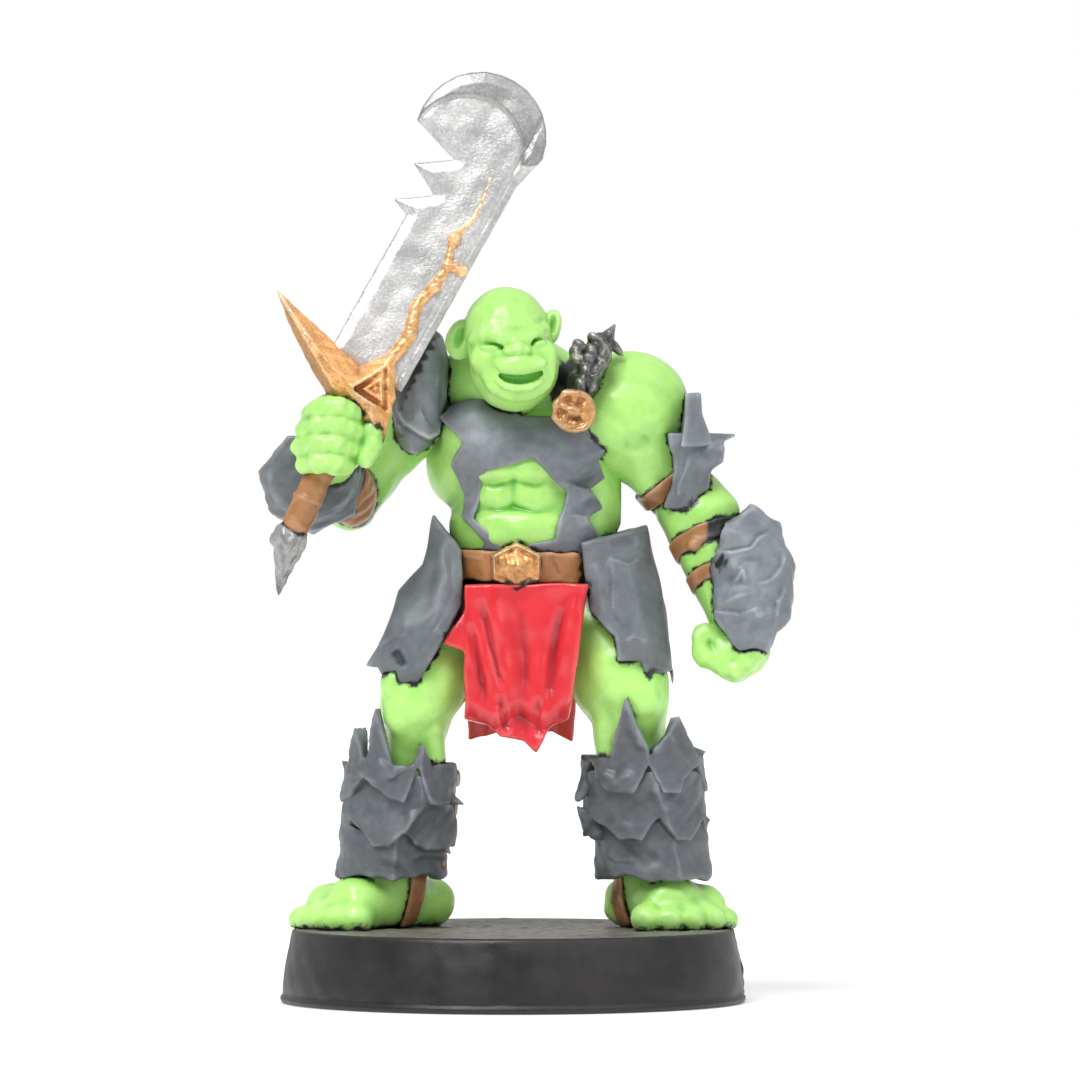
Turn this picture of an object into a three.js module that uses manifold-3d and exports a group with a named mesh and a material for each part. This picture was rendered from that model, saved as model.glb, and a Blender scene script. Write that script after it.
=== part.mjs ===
// A painted tabletop miniature: an armoured ogre warrior with a cleaver sword on a round base.
// Millimetres, +Z up, the figure faces -Y. The origin is the centre of the base's underside.
// Left and right are the figure's own, so its right hand, which holds the sword, is at -X.
import * as THREE from 'three';
import { mergeVertices } from 'three/addons/utils/BufferGeometryUtils.js';
import Module from 'manifold-3d';

const wasm = await Module();
wasm.setup();

// Driving dimensions
const FIGURE_HEIGHT = 49.7; // to the top of the sword
const BASE_RADIUS = 12.5;
const BASE_TOP_RADIUS = 11.8;
const BASE_HEIGHT = 3.92;
const BASE_LIP = 0.37;
const GAP = 0.1; // glue clearance between neighbouring pieces
const BAND = 0.45; // how far a strap stands out of the limb under it
const PEG = 0.65; // radius of the locating pegs
const BLADE_THICKNESS = 0.8;
const BLADE_LEAN = 0.2; // the blade leans back by this much for each millimetre of height
const BLADE_TILT = 29; // degrees from upright, over towards the figure's left
const BLADE_FOOT = [-7.8, 33.6]; // where the blade leaves the guard
const BLADE_HALF_WIDTH = 2.2;
const TIP_RADIUS = 3.5;
const BASE_SIDES = 36;
const FINE = 10; // facets round the large, middling and small rounded shapes
const MEDIUM = 8;
const COARSE = 6;

// Every shape below is a function of a growth: shape(0) is the shape itself, and shape(g) is
// the same shape swollen by g all round, which cuts its bed in a neighbour with clearance g.

function solidFrom(geometry) {
  geometry.deleteAttribute('normal');
  geometry.deleteAttribute('uv');
  const merged = mergeVertices(geometry, 1e-4);
  return new wasm.Manifold(new wasm.Mesh({
    numProp: 3,
    vertProperties: Float32Array.from(merged.attributes.position.array),
    triVerts: Uint32Array.from(merged.index.array),
  }));
}

function turnTo(direction) {
  const up = new THREE.Vector3(0, 1, 0);
  return new THREE.Quaternion().setFromUnitVectors(up, direction.clone().normalize());
}

// An ellipsoid, rolled about Y by roll degrees and then turned about Z by yaw degrees
function ball(centre, radii, roll = 0, yaw = 0, sides = FINE) {
  return (g) => {
    const geometry = new THREE.SphereGeometry(1, sides, Math.ceil(sides * 0.6));
    geometry.scale(radii[0] + g, radii[2] + g, radii[1] + g);
    geometry.rotateX(Math.PI / 2);
    geometry.rotateY(THREE.MathUtils.degToRad(roll));
    geometry.rotateZ(THREE.MathUtils.degToRad(yaw));
    geometry.translate(...centre);
    return solidFrom(geometry);
  };
}

// A tapered limb with round ends, from one joint to the next
function limb(from, fromRadius, to, toRadius, sides = FINE) {
  return (g) => {
    const start = new THREE.Vector3(...from);
    const along = new THREE.Vector3(...to).sub(start);
    const length = along.length();
    const a = fromRadius + g;
    const b = toRadius + g;
    const profile = [];
    for (const angle of [-90, -45, 0]) {
      const turn = THREE.MathUtils.degToRad(angle);
      profile.push(new THREE.Vector2(a * Math.cos(turn), a * Math.sin(turn)));
    }
    for (const angle of [0, 45, 90]) {
      const turn = THREE.MathUtils.degToRad(angle);
      profile.push(new THREE.Vector2(b * Math.cos(turn), length + b * Math.sin(turn)));
    }
    profile[0].x = 0;
    profile[5].x = 0;
    const geometry = new THREE.LatheGeometry(profile, sides);
    geometry.applyQuaternion(turnTo(along));
    geometry.translate(...from);
    return solidFrom(geometry);
  };
}

// A straight round peg or bar with flat ends
function peg(from, to, radius, sides = MEDIUM) {
  return (g) => {
    const start = new THREE.Vector3(...from);
    const along = new THREE.Vector3(...to).sub(start);
    const length = along.length();
    const geometry = new THREE.CylinderGeometry(radius + g, radius + g, length + 2 * g, sides);
    geometry.translate(0, length / 2, 0);
    geometry.applyQuaternion(turnTo(along));
    geometry.translate(...from);
    return solidFrom(geometry);
  };
}

// A flat plate: an outline of [x, z] points seen from the front, between two depths.
// It leans back by lean for each millimetre above leanFrom.
function plate(outline, front, back, lean = 0, leanFrom = 0) {
  return (g) => {
    const shape = new THREE.Shape(outline.map(([x, z]) => new THREE.Vector2(x, z)));
    const geometry = new THREE.ExtrudeGeometry(shape, {
      depth: back - front,
      bevelEnabled: g > 0,
      bevelThickness: g,
      bevelSize: g,
      bevelSegments: 1,
    });
    geometry.rotateX(Math.PI / 2);
    geometry.translate(0, back, 0);
    const shear = new THREE.Matrix4().set(
      1, 0, 0, 0,
      0, 1, lean, -lean * leanFrom,
      0, 0, 1, 0,
      0, 0, 0, 1,
    );
    geometry.applyMatrix4(shear);
    return solidFrom(geometry);
  };
}

// The outlines that plates are cut to are lists of [x, z] points, seen from the front.

// The points of a round stretch, between two angles in degrees
function arc([x, z], radius, from, to, steps = 6) {
  const { degToRad } = THREE.MathUtils;
  const curve = new THREE.EllipseCurve(x, z, radius, radius, degToRad(from), degToRad(to));
  return curve.getPoints(steps).map((point) => [point.x, point.y]);
}

// An oval whose edge is cut in by the share bite of its radius between its teeth
function raggedOval([x, z], halfWidth, halfHeight, teeth, bite = 0) {
  const steps = bite > 0 ? 2 * teeth : teeth;
  return Array.from({ length: steps }, (_, n) => {
    const turn = (2 * Math.PI * (n + 0.5)) / steps;
    const out = bite > 0 && n % 2 ? 1 - bite : 1;
    return [x + out * halfWidth * Math.cos(turn), z + out * halfHeight * Math.sin(turn)];
  });
}

// An edge of a panel: each of its teeth is followed by a notch that is cut in by bite
function edge([x, z], [endX, endZ], teeth, bite) {
  const run = new THREE.Vector2(endX - x, endZ - z);
  const inward = new THREE.Vector2(-run.y, run.x).normalize().multiplyScalar(bite);
  const points = [[x, z]];
  for (let n = 0; n < teeth; n += 1) {
    const notch = (n + 0.6) / teeth;
    const tip = (n + 1) / teeth;
    points.push([x + notch * run.x + inward.x, z + notch * run.y + inward.y]);
    points.push([x + tip * run.x, z + tip * run.y]);
  }
  return teeth > 0 ? points.slice(0, -1) : points;
}

// A panel that runs up from foot to top, with a width at each. Teeth counts the ragged points
// along its foot, its +X side, its top and its -X side.
function panel(foot, top, widths, teeth, bite = 0.7) {
  const run = new THREE.Vector2(top[0] - foot[0], top[1] - foot[1]).normalize();
  const beside = ([x, z], out) => [x + out * run.y, z - out * run.x];
  const corners = [
    beside(foot, -widths[0] / 2),
    beside(foot, widths[0] / 2),
    beside(top, widths[1] / 2),
    beside(top, -widths[1] / 2),
  ];
  return corners.flatMap((corner, n) => edge(corner, corners[(n + 1) % 4], teeth[n], bite));
}

// A slab of space square to a direction, for cutting a band out of a limb
function slice(centre, direction, width) {
  return (g) => {
    const reach = 12;
    const geometry = new THREE.BoxGeometry(reach, width + 2 * g, reach);
    geometry.applyQuaternion(turnTo(new THREE.Vector3(...direction)));
    geometry.translate(...centre);
    return solidFrom(geometry);
  };
}

function join(...shapes) {
  return (g) => shapes.map((shape) => shape(g)).reduce((sum, next) => sum.add(next));
}

function common(a, b) {
  return (g) => a(g).intersect(b(g));
}

function less(a, b) {
  return (g) => a(g).subtract(b(0));
}

function swollen(shape, by) {
  return (g) => shape(g + by);
}

// The pieces, from the inside out: each one is cut back where an earlier one lies.
const pieces = [];

function piece(name, paint, shape, locator = null) {
  pieces.push({ name, paint, shape, locator });
}

const PAINT = {
  skin: { color: 0x8fe05a, roughness: 0.5, metalness: 0 },
  armour: { color: 0x6b747e, roughness: 0.55, metalness: 0 },
  cloth: { color: 0xd9323c, roughness: 0.5, metalness: 0 },
  leather: { color: 0x8a5a34, roughness: 0.6, metalness: 0 },
  copper: { color: 0xc8813c, roughness: 0.4, metalness: 0.7 },
  silver: { color: 0xc9c9c9, roughness: 0.4, metalness: 0.8 },
  gunmetal: { color: 0x4b4b48, roughness: 0.4, metalness: 0.7 },
  black: { color: 0x2b2a2a, roughness: 0.7, metalness: 0 },
};

// Base: a solid tapered disc with a small lip round its foot
function baseDisc(g) {
  const profile = [
    [0, 0],
    [BASE_RADIUS, 0],
    [BASE_RADIUS, BASE_LIP],
    [BASE_RADIUS - 0.12, BASE_LIP + 0.08],
    [BASE_TOP_RADIUS, BASE_HEIGHT - 0.15],
    [BASE_TOP_RADIUS - 0.15, BASE_HEIGHT],
    [0, BASE_HEIGHT],
  ];
  const points = profile.map(([r, z]) => new THREE.Vector2(r > 0 ? r + g : 0, z > 0 ? z + g : z - g));
  const geometry = new THREE.LatheGeometry(points, BASE_SIDES);
  geometry.rotateX(Math.PI / 2);
  return solidFrom(geometry);
}
piece('base', PAINT.black, baseDisc);

// Feet: heel, instep and a row of toes, flat underneath where they stand on the base
function foot(heel, ankle, ballOfFoot, outerEdge, toes) {
  return join(
    limb(heel, 1.15, ballOfFoot, 1.05, MEDIUM),
    limb(ankle, 1.45, ballOfFoot, 1.15, MEDIUM),
    limb(heel, 1.0, outerEdge, 0.95, MEDIUM),
    ...toes.map(([x, y, r]) => ball([x, y, BASE_HEIGHT + 0.7 * r], [r, r, r], 0, 0, COARSE)),
  );
}
const rightToes = [[-9.5, -2.2, 1.0], [-10.6, -1.5, 0.8], [-11.2, -0.5, 0.75], [-11.4, 0.5, 0.7]];
const leftToes = [[8.2, -2.1, 1.05], [9.6, -2.0, 0.85], [10.6, -1.3, 0.8], [11.3, -0.4, 0.75], [11.5, 0.5, 0.7]];
const rightFoot = foot([-4.7, 2.7, 5.0], [-6.3, 1.0, 6.6], [-9.0, -0.8, 4.9], [-10.3, 0.8, 4.7], rightToes);
const leftFoot = foot([5.9, 2.4, 5.0], [7.5, 0.9, 6.6], [8.6, -1.0, 4.9], [10.5, 0.4, 4.8], leftToes);
piece('right_foot', PAINT.skin, rightFoot, peg([-7, 0.8, 2.2], [-7, 0.8, 5], PEG));
piece('left_foot', PAINT.skin, leftFoot, peg([7.8, 0.6, 2.2], [7.8, 0.6, 5], PEG));
piece('right_foot_strap', PAINT.leather,
  common(swollen(rightFoot, BAND), slice([-5.9, 1.6, 5.4], [-0.9, -0.45, 0.1], 1.1)));
piece('left_foot_strap', PAINT.leather,
  common(swollen(leftFoot, BAND), slice([6.4, 1.4, 5.4], [0.8, -0.6, 0.1], 1.0)));

// Legs: thigh, knee and shin, each with a peg down into its foot
function leg(hip, knee, ankle) {
  return join(
    limb(hip, 2.35, knee, 2.2),
    limb(knee, 1.9, ankle, 1.35),
  );
}
const rightLeg = leg([-2.3, 0.6, 20.6], [-5.2, -1.7, 15.9], [-6.3, 0.5, 8.6]);
const leftLeg = leg([3.5, 0.6, 20.6], [6.6, -1.7, 16.5], [7.4, 0.5, 8.6]);
piece('right_leg', PAINT.skin, rightLeg, join(
  peg([-6.3, 0.6, 9.2], [-6.3, 0.9, 5.7], PEG),
  peg([-2.6, 0.6, 20.8], [-1.2, 0.7, 21.2], PEG),
));
piece('left_leg', PAINT.skin, leftLeg, join(
  peg([7.4, 0.6, 9.2], [7.5, 0.8, 5.7], PEG),
  peg([3.8, 0.6, 20.8], [2.5, 0.7, 21.2], PEG),
));

// Head: cranium, jaw, brow, nose and two short pointed ears, on a peg into the neck
const head = join(
  ball([-0.3, -3.8, 35.45], [2.6, 2.75, 2.75]),
  ball([0.1, -4.4, 33.35], [2.5, 2.3, 1.8]),
  ball([0.25, -5.9, 35.4], [1.9, 0.7, 0.5], -6, 0, COARSE),
  ball([0.35, -6.5, 34.6], [0.75, 0.6, 0.45], 0, 0, COARSE),
  ball([-2.8, -3.2, 35.9], [1.0, 0.4, 0.8], 20, -20, COARSE),
  ball([2.4, -2.9, 36.2], [0.6, 0.5, 1.0], 20, 20, COARSE),
);
piece('head', PAINT.skin, head, peg([-0.1, -3.2, 33.4], [0.2, -0.9, 31.2], 0.9));

// Torso: belly, chest and the hunched neck, with a peg down into the hips
const torsoBulk = join(
  ball([0.8, 0.3, 25.6], [3.5, 2.9, 3.1]),
  ball([0.6, 0.3, 29.6], [4.3, 3.2, 3.3]),
);
const bellyOpening = raggedOval([0.4, 26.6], 2.6, 2.6, 6, 0.16);
const belly = common(swollen(torsoBulk, 0.45), plate(bellyOpening, -6, 0));
const torso = join(torsoBulk, belly, ball([0, -0.5, 33.0], [3.8, 2.8, 2.6]));
piece('torso', PAINT.skin, torso, peg([0.7, 0.6, 24.5], [0.7, 0.6, 19.6], 0.9));

// Left arm: shoulder, upper arm and forearm, with straps, armour and a clenched fist
const leftUpperArm = join(
  ball([6.3, 0, 31.2], [3.2, 3.0, 3.5], 20),
  limb([7.2, 0.1, 29.8], 2.3, [8.8, 0.5, 27.4], 1.8),
);
piece('left_upper_arm', PAINT.skin, leftUpperArm, peg([5, 0.2, 30.6], [2.6, 0.3, 30], 0.8));
const leftElbow = [9.3, 0.3, 26.8];
const leftWrist = [12.3, -2.7, 20.4];
const leftForearm = limb(leftElbow, 1.85, leftWrist, 1.35);
piece('left_forearm', PAINT.skin, leftForearm, peg([9.1, 0.4, 26.8], [8.3, 0.3, 28.6], PEG));
const leftFist = join(
  ball([11.9, -2.7, 18.6], [1.7, 1.7, 1.6], 0, 0, MEDIUM),
  ...[0, 1, 2, 3].map((n) => {
    const y = -4.3 + 0.85 * n;
    return limb([10.4, y, 19.0], 0.55, [11.4, y, 17.7], 0.6, COARSE);
  }),
  limb([12.9, -3.6, 18.9], 0.6, [11.2, -4.6, 18.9], 0.55, COARSE),
);
piece('left_fist', PAINT.skin, leftFist, peg([12.0, -2.6, 18.8], [12.2, -2.6, 21.2], PEG));
piece('left_elbow_strap', PAINT.leather,
  common(swollen(leftUpperArm, BAND), slice([8.3, 0.4, 28.0], [0.55, 0.1, -0.83], 1.0)));
const leftForearmAxis = [3.0, -3.0, -6.4];
piece('left_wrist_strap_upper', PAINT.leather,
  common(swollen(leftForearm, BAND), slice([10.35, -0.8, 24.5], leftForearmAxis, 1.1)));
piece('left_wrist_strap_lower', PAINT.leather,
  common(swollen(leftForearm, BAND), slice([11.2, -1.6, 22.7], leftForearmAxis, 0.9)));

const leftGuardUpperOutline = panel([10, 29.6], [9.8, 32.4], [3.4, 0.8], [0, 2, 0, 0], 0.4);
const leftGuardLowerOutline = panel([9.1, 26.2], [9.9, 29.5], [1.2, 3.6], [0, 2, 0, 1], 0.4);
const leftGuardBulk = limb([8.2, 0.1, 30.9], 3.6, [9.4, 0.3, 27.4], 2.6);
piece('left_arm_guard_upper', PAINT.armour, common(leftGuardBulk, plate(leftGuardUpperOutline, -4, 4)));
piece('left_arm_guard_lower', PAINT.armour, common(leftGuardBulk, plate(leftGuardLowerOutline, -4, 4)));

const leftBracerOutline = raggedOval([12.7, 22.8], 2.6, 4.2, 7, 0.14);
const leftBracerBulk = limb([12.3, -0.6, 26.2], 2.3, [12.7, -2.4, 20.0], 2.6);
piece('left_bracer', PAINT.armour, common(leftBracerBulk, plate(leftBracerOutline, -6, 1.6)));

// Sword: blade, raised inlay, guard, grip and hooked pommel
function onBlade([across, along]) {
  const tilt = THREE.MathUtils.degToRad(BLADE_TILT);
  const point = new THREE.Vector2(across, along).rotateAround(new THREE.Vector2(), -tilt);
  return [BLADE_FOOT[0] + point.x, BLADE_FOOT[1] + point.y];
}
// A cleaver: straight sides, two hooks in the back edge and a round tip that overhangs both sides
const tipCentre = [-1.7, FIGURE_HEIGHT - TIP_RADIUS];
const hooks = [12.2, 10].flatMap((along) => [[-1.4, along], [-BLADE_HALF_WIDTH - 1, along - 1.2]]);
const bladeOutline = [
  ...[[BLADE_HALF_WIDTH, 0], [BLADE_HALF_WIDTH, 12.5]].map(onBlade),
  ...arc(tipCentre, TIP_RADIUS, -20, 165, 9),
  ...[...hooks, [-BLADE_HALF_WIDTH, 8.4], [-BLADE_HALF_WIDTH, 0]].map(onBlade),
];
const bladeRoot = 34;
const blade = plate(bladeOutline, -6.4, -6.4 + BLADE_THICKNESS, BLADE_LEAN, bladeRoot);
piece('sword_blade', PAINT.silver, blade);
// The vein wavers beside the cutting edge and thins towards the tip
const VEIN_STEPS = 9;
const veinSide = (side) => Array.from({ length: VEIN_STEPS }, (_, n) => {
  const middle = 0.9 + 0.25 * Math.sin(2.2 * n);
  const half = 0.5 * (1 - n / VEIN_STEPS);
  return onBlade([middle + side * half, 1.5 + 1.4 * n]);
});
const inlayOutline = [...veinSide(1), ...veinSide(-1).reverse()];
piece('blade_inlay', PAINT.copper, plate(inlayOutline, -6.95, -6.3, BLADE_LEAN, bladeRoot));
// The guard: one long horn up and out, one short horn down, and a hollow curve between them
const longHorn = new THREE.Vector2(-12.5, 38);
const shortHorn = new THREE.Vector2(-6.8, 29.8);
const hollow = new THREE.QuadraticBezierCurve(longHorn, new THREE.Vector2(-9.9, 31.2), shortHorn);
const guardOutline = [
  ...hollow.getPoints(6).map((point) => [point.x, point.y]),
  [-6.2, 32],
  [-6.3, 34.6],
  [-8.2, 34.2],
];
piece('sword_guard', PAINT.copper, plate(guardOutline, -7.6, -5.3, 0.08, bladeRoot));
const gripTop = [-8.4, -6.6, 32.2];
const gripEnd = [-11.7, -6.6, 25.2];
piece('sword_grip', PAINT.leather, peg(gripEnd, gripTop, 1.0), peg([-8.4, -6.6, 31.9], [-8.0, -6.5, 32.9], 0.4));
const pommelOutline = [...arc([-11.8, 24.8], 0.95, -30, 210), [-12.4, 21.8]];
piece('sword_pommel', PAINT.silver, plate(pommelOutline, -7.2, -6.0));

// Right arm: raised forward, with the hand closed round the grip
const rightElbow = [-8.7, 1.6, 26.4];
const rightWrist = [-9.7, -5.0, 29.3];
const rightUpperArm = limb([-4.7, 0.4, 31.2], 2.2, rightElbow, 1.7);
piece('right_upper_arm', PAINT.skin, rightUpperArm, peg([-4.4, 0.4, 30.8], [-2.2, 0.4, 30.4], 0.8));
const rightForearm = limb([-8.8, 1.2, 26.5], 1.55, rightWrist, 1.3);
piece('right_forearm', PAINT.skin, rightForearm, peg([-8.9, 0.6, 26.9], [-8.2, 2.2, 27.3], PEG));
const fingers = [0, 1, 2, 3].map((n) => {
  const drop = 1.1 * n;
  const across = 0.52 * n;
  return limb([-11.0 - across, -7.9, 31.3 - drop], 0.62, [-8.7 - across, -8.1, 31.1 - drop], 0.62, COARSE);
});
const rightHand = join(
  ball([-9.6, -6.6, 29.8], [2.0, 1.6, 2.2], 25, 0, MEDIUM),
  limb([-8.0, -6.4, 30.6], 0.65, [-8.0, -7.6, 29.0], 0.65, COARSE),
  ...fingers,
);
piece('right_hand', PAINT.skin, rightHand, peg([-9.8, -4.9, 29.3], [-9.6, -3.2, 28.5], PEG));
piece('right_arm_band', PAINT.leather,
  common(swollen(rightForearm, BAND), slice([-9.0, 0, 27.1], [-0.9, -6.6, 2.9], 1.6)));
const rightBracerOutline = raggedOval([-10.7, 27.8], 3.1, 2.8, 6, 0.14);
const rightBracerBulk = limb([-10.4, -1.6, 27.6], 2.9, [-10.9, -3.0, 28.2], 3.0);
piece('right_bracer', PAINT.armour, common(rightBracerBulk, plate(rightBracerOutline, -4.3, -1.0)));

// Vest: a jagged hide jerkin over the torso, open at the belly
const vestOutline = panel([0.8, 24.4], [0.4, 33], [8.8, 9.6], [0, 5, 0, 3]);
const vestShell = swollen(torsoBulk, 0.75);
const vestFront = less(common(vestShell, plate(vestOutline, -6, 6)), plate(bellyOpening, -6, 0));
piece('vest', PAINT.armour, vestFront);

// Right shoulder: a long hide pad that hangs beside the neck
const shoulderPad = ball([-4.9, -1.2, 32.6], [1.55, 2.9, 3.6], 12);
piece('right_shoulder_pad', PAINT.armour, shoulderPad);

// Round boss and the clasp that holds it to the left shoulder
piece('medallion', PAINT.copper, peg([3.3, -4.7, 31.4], [3.4, -5.4, 31.4], 1.17, FINE));
piece('shoulder_clasp', PAINT.gunmetal, join(
  limb([3.7, -4.1, 32.3], 0.45, [4.6, -2.9, 35.0], 0.6, COARSE),
  limb([4.6, -2.9, 35.0], 0.55, [5.5, -2.2, 36.3], 0.1, COARSE),
  limb([4.7, -2.8, 34.9], 0.5, [5.9, -1.9, 34.9], 0.12, COARSE),
  ball([3.7, -3.1, 34.4], [0.6, 0.6, 0.6], 0, 0, COARSE),
));

// Hips: a plain core under the skirt, which the legs and the torso peg into
piece('hips', PAINT.black, ball([0.6, 0.7, 21.0], [4.2, 3.0, 3.2]));

// Belt and its plain faceted buckle
const beltRing = (g) => {
  const geometry = new THREE.CylinderGeometry(1, 1, 1.9 + 2 * g, 20);
  geometry.rotateX(Math.PI / 2);
  geometry.scale(4.2 + g, 3.6 + g, 1);
  geometry.translate(0.7, 0.4, 23.25);
  return solidFrom(geometry);
};
piece('belt', PAINT.leather, beltRing);
const buckleOutline = raggedOval([0.2, 23.3], 1.7, 1.3, 6);
piece('belt_buckle', PAINT.copper, plate(buckleOutline, -4.5, -3.0));

// Loincloth in front and a matching cloth behind
const loinclothOutline = panel([0.2, 13.6], [0.6, 22.2], [6.2, 6.8], [3, 0, 0, 0]);
piece('loincloth', PAINT.cloth, plate(loinclothOutline, -4.5, -3.6, 0.06, 22));
const rearClothOutline = panel([0.4, 13.8], [0.6, 22.2], [5.6, 6.6], [2, 0, 0, 0]);
piece('rear_cloth', PAINT.cloth, plate(rearClothOutline, 3.3, 4.2, -0.06, 22));

// Skirt plates over the hips, moulded against the thighs
const rightTassetOutline = panel([-5.9, 17.2], [-3.6, 25.8], [4.6, 1.8], [3, 0, 0, 2]);
const rightTassetBulk = limb([-2.0, 0.5, 24.6], 3.2, [-3.9, -0.3, 18.8], 4.3);
piece('right_tasset', PAINT.armour, common(rightTassetBulk, plate(rightTassetOutline, -5, 5)));
const leftTassetOutline = panel([6.7, 17], [5.2, 25.2], [4.6, 3.2], [2, 1, 0, 1]);
const leftTassetBulk = limb([3.4, 0.5, 24.6], 3.6, [4.7, -0.3, 18.8], 4.3);
piece('left_tasset', PAINT.armour, common(leftTassetBulk, plate(leftTassetOutline, -5, 5)));

// Greaves: three overlapping plates round each shin, open along the inner back,
// where straps cross the opening
const STRAP_HEIGHTS = [12.0, 10.3, 7.5];

function greave(side, inward, tiers) {
  const openings = tiers.map(({ from }) => {
    const edge = from[0] + inward * 0.6;
    const far = edge + inward * 5;
    return plate([[edge, 5], [far, 5], [far, 17], [edge, 17]], 0.8, 7);
  });
  tiers.forEach(({ name, outline, from, to, radius }, index) => {
    const wrap = common(limb(from, radius, to, radius), plate(outline, -6, 4.5));
    piece(`${side}_greave_${name}`, PAINT.armour, less(wrap, openings[index]));
  });
  tiers.forEach(({ from, to, radius }, index) => {
    const around = limb(from, radius + 0.1, to, radius + 0.1);
    const band = common(around, slice([from[0], 0, STRAP_HEIGHTS[index]], [0, 0, 1], 0.9));
    piece(`${side}_greave_strap_${index + 1}`, PAINT.leather, common(band, openings[index]));
  });
}
const SHIN_TEETH = { upper: [3, 0, 3, 0], middle: [3, 0, 0, 0], lower: [3, 0, 0, 0] };
const tier = (name, radius, from, to, foot, top, widths) => (
  { name, radius, from, to, outline: panel(foot, top, widths, SHIN_TEETH[name], 1) }
);
greave('right', 1, [
  tier('upper', 3.1, [-6.1, -0.8, 11.6], [-6.0, -1.2, 15.6], [-6.1, 11.2], [-6.2, 15.6], [6.2, 5.6]),
  tier('middle', 3.2, [-5.9, -0.5, 9.6], [-5.9, -0.9, 12.0], [-5.9, 8.7], [-6.1, 12.4], [6.6, 6.2]),
  tier('lower', 2.9, [-6.6, 0.1, 7.6], [-6.5, -0.1, 9.2], [-6.6, 6.4], [-6.7, 9.2], [5.9, 5.6]),
]);
greave('left', -1, [
  tier('upper', 3.5, [6.9, -0.8, 12.0], [6.9, -1.2, 15.6], [7, 11.5], [6.9, 16], [7, 6.2]),
  tier('middle', 3.6, [6.9, -0.5, 9.8], [6.9, -0.9, 12.0], [6.8, 8.8], [7, 12.6], [7.4, 6.8]),
  tier('lower', 3.1, [7.5, 0.1, 7.8], [7.3, -0.1, 9.4], [7.6, 6.4], [7.5, 9.6], [6.4, 6.2]),
]);

// Assembly: every piece is cut back by the earlier ones and by every other piece's peg
function bodyOf(solid) {
  const parts = solid.decompose();
  parts.sort((a, b) => b.volume() - a.volume());
  return parts[0];
}

function apart(a, b) {
  const boxA = a.boundingBox();
  const boxB = b.boundingBox();
  return [0, 1, 2].some((axis) => boxA.min[axis] > boxB.max[axis] || boxB.min[axis] > boxA.max[axis]);
}

function cut(solid, cutter) {
  return apart(solid, cutter) ? solid : solid.subtract(cutter);
}

function geometryOf(solid) {
  const mesh = solid.getMesh();
  const geometry = new THREE.BufferGeometry();
  geometry.setAttribute('position', new THREE.BufferAttribute(mesh.vertProperties, 3));
  geometry.setIndex(new THREE.BufferAttribute(mesh.triVerts, 1));
  geometry.computeVertexNormals();
  return geometry;
}

const beds = pieces.map(({ shape }) => shape(GAP));
const sockets = pieces.map(({ locator }) => (locator ? locator(GAP) : null));
const figure = new THREE.Group();
pieces.forEach(({ name, paint, shape, locator }, index) => {
  let solid = shape(0);
  beds.slice(0, index).forEach((bed) => {
    solid = cut(solid, bed);
  });
  if (locator) {
    solid = bodyOf(solid).add(locator(0));
  }
  sockets.forEach((socket, other) => {
    if (socket && other !== index) {
      solid = cut(solid, socket);
    }
  });
  const mesh = new THREE.Mesh(geometryOf(bodyOf(solid)), new THREE.MeshStandardMaterial(paint));
  mesh.name = name;
  figure.add(mesh);
});

export default figure;
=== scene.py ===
import math

import bpy
import numpy as np
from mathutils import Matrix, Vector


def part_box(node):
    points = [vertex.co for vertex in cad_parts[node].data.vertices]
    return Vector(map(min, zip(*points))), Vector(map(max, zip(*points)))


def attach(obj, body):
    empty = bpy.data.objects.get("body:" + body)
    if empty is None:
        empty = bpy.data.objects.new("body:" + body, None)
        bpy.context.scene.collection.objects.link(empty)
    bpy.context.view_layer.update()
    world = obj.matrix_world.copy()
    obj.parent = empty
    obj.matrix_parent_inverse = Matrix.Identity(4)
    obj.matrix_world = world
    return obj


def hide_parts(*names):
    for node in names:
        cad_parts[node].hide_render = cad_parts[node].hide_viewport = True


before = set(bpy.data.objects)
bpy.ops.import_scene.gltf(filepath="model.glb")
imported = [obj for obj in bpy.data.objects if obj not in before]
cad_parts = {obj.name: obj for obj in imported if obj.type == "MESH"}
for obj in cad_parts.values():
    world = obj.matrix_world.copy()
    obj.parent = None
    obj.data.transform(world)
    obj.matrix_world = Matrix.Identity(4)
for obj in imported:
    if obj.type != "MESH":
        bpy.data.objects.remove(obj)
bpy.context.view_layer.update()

import openvdb

# Every shape below is sculpted in millimetres in the frame's own axes: the figure faces -Y,
# its left hand is at +X, and heights are measured from the underside of the base.
MM = 0.001
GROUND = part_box("base")[0][2] / MM
BASE_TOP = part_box("base")[1][2] / MM
MARGIN = 1.0  # room round a node's box for the sculpted surface
STEP = 0.09  # spacing of the sculpting grid
FINE_STEP = 0.065


# ---------------------------------------------------------------- sculpting tools
# A shape is a function of x, y and z in millimetres that gives the distance to its surface,
# negative inside.

def turned(x, y, z, centre, roll, yaw, pitch):
    """Coordinates in a frame at centre, rolled about Y, yawed about Z and pitched about X."""
    u, v, w = x - centre[0], y - centre[1], z - centre[2]
    if yaw:
        c, s = math.cos(math.radians(yaw)), math.sin(math.radians(yaw))
        u, v = c * u + s * v, c * v - s * u
    if roll:
        c, s = math.cos(math.radians(roll)), math.sin(math.radians(roll))
        u, w = c * u - s * w, c * w + s * u
    if pitch:
        c, s = math.cos(math.radians(pitch)), math.sin(math.radians(pitch))
        v, w = c * v + s * w, c * w - s * v
    return u, v, w


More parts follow.
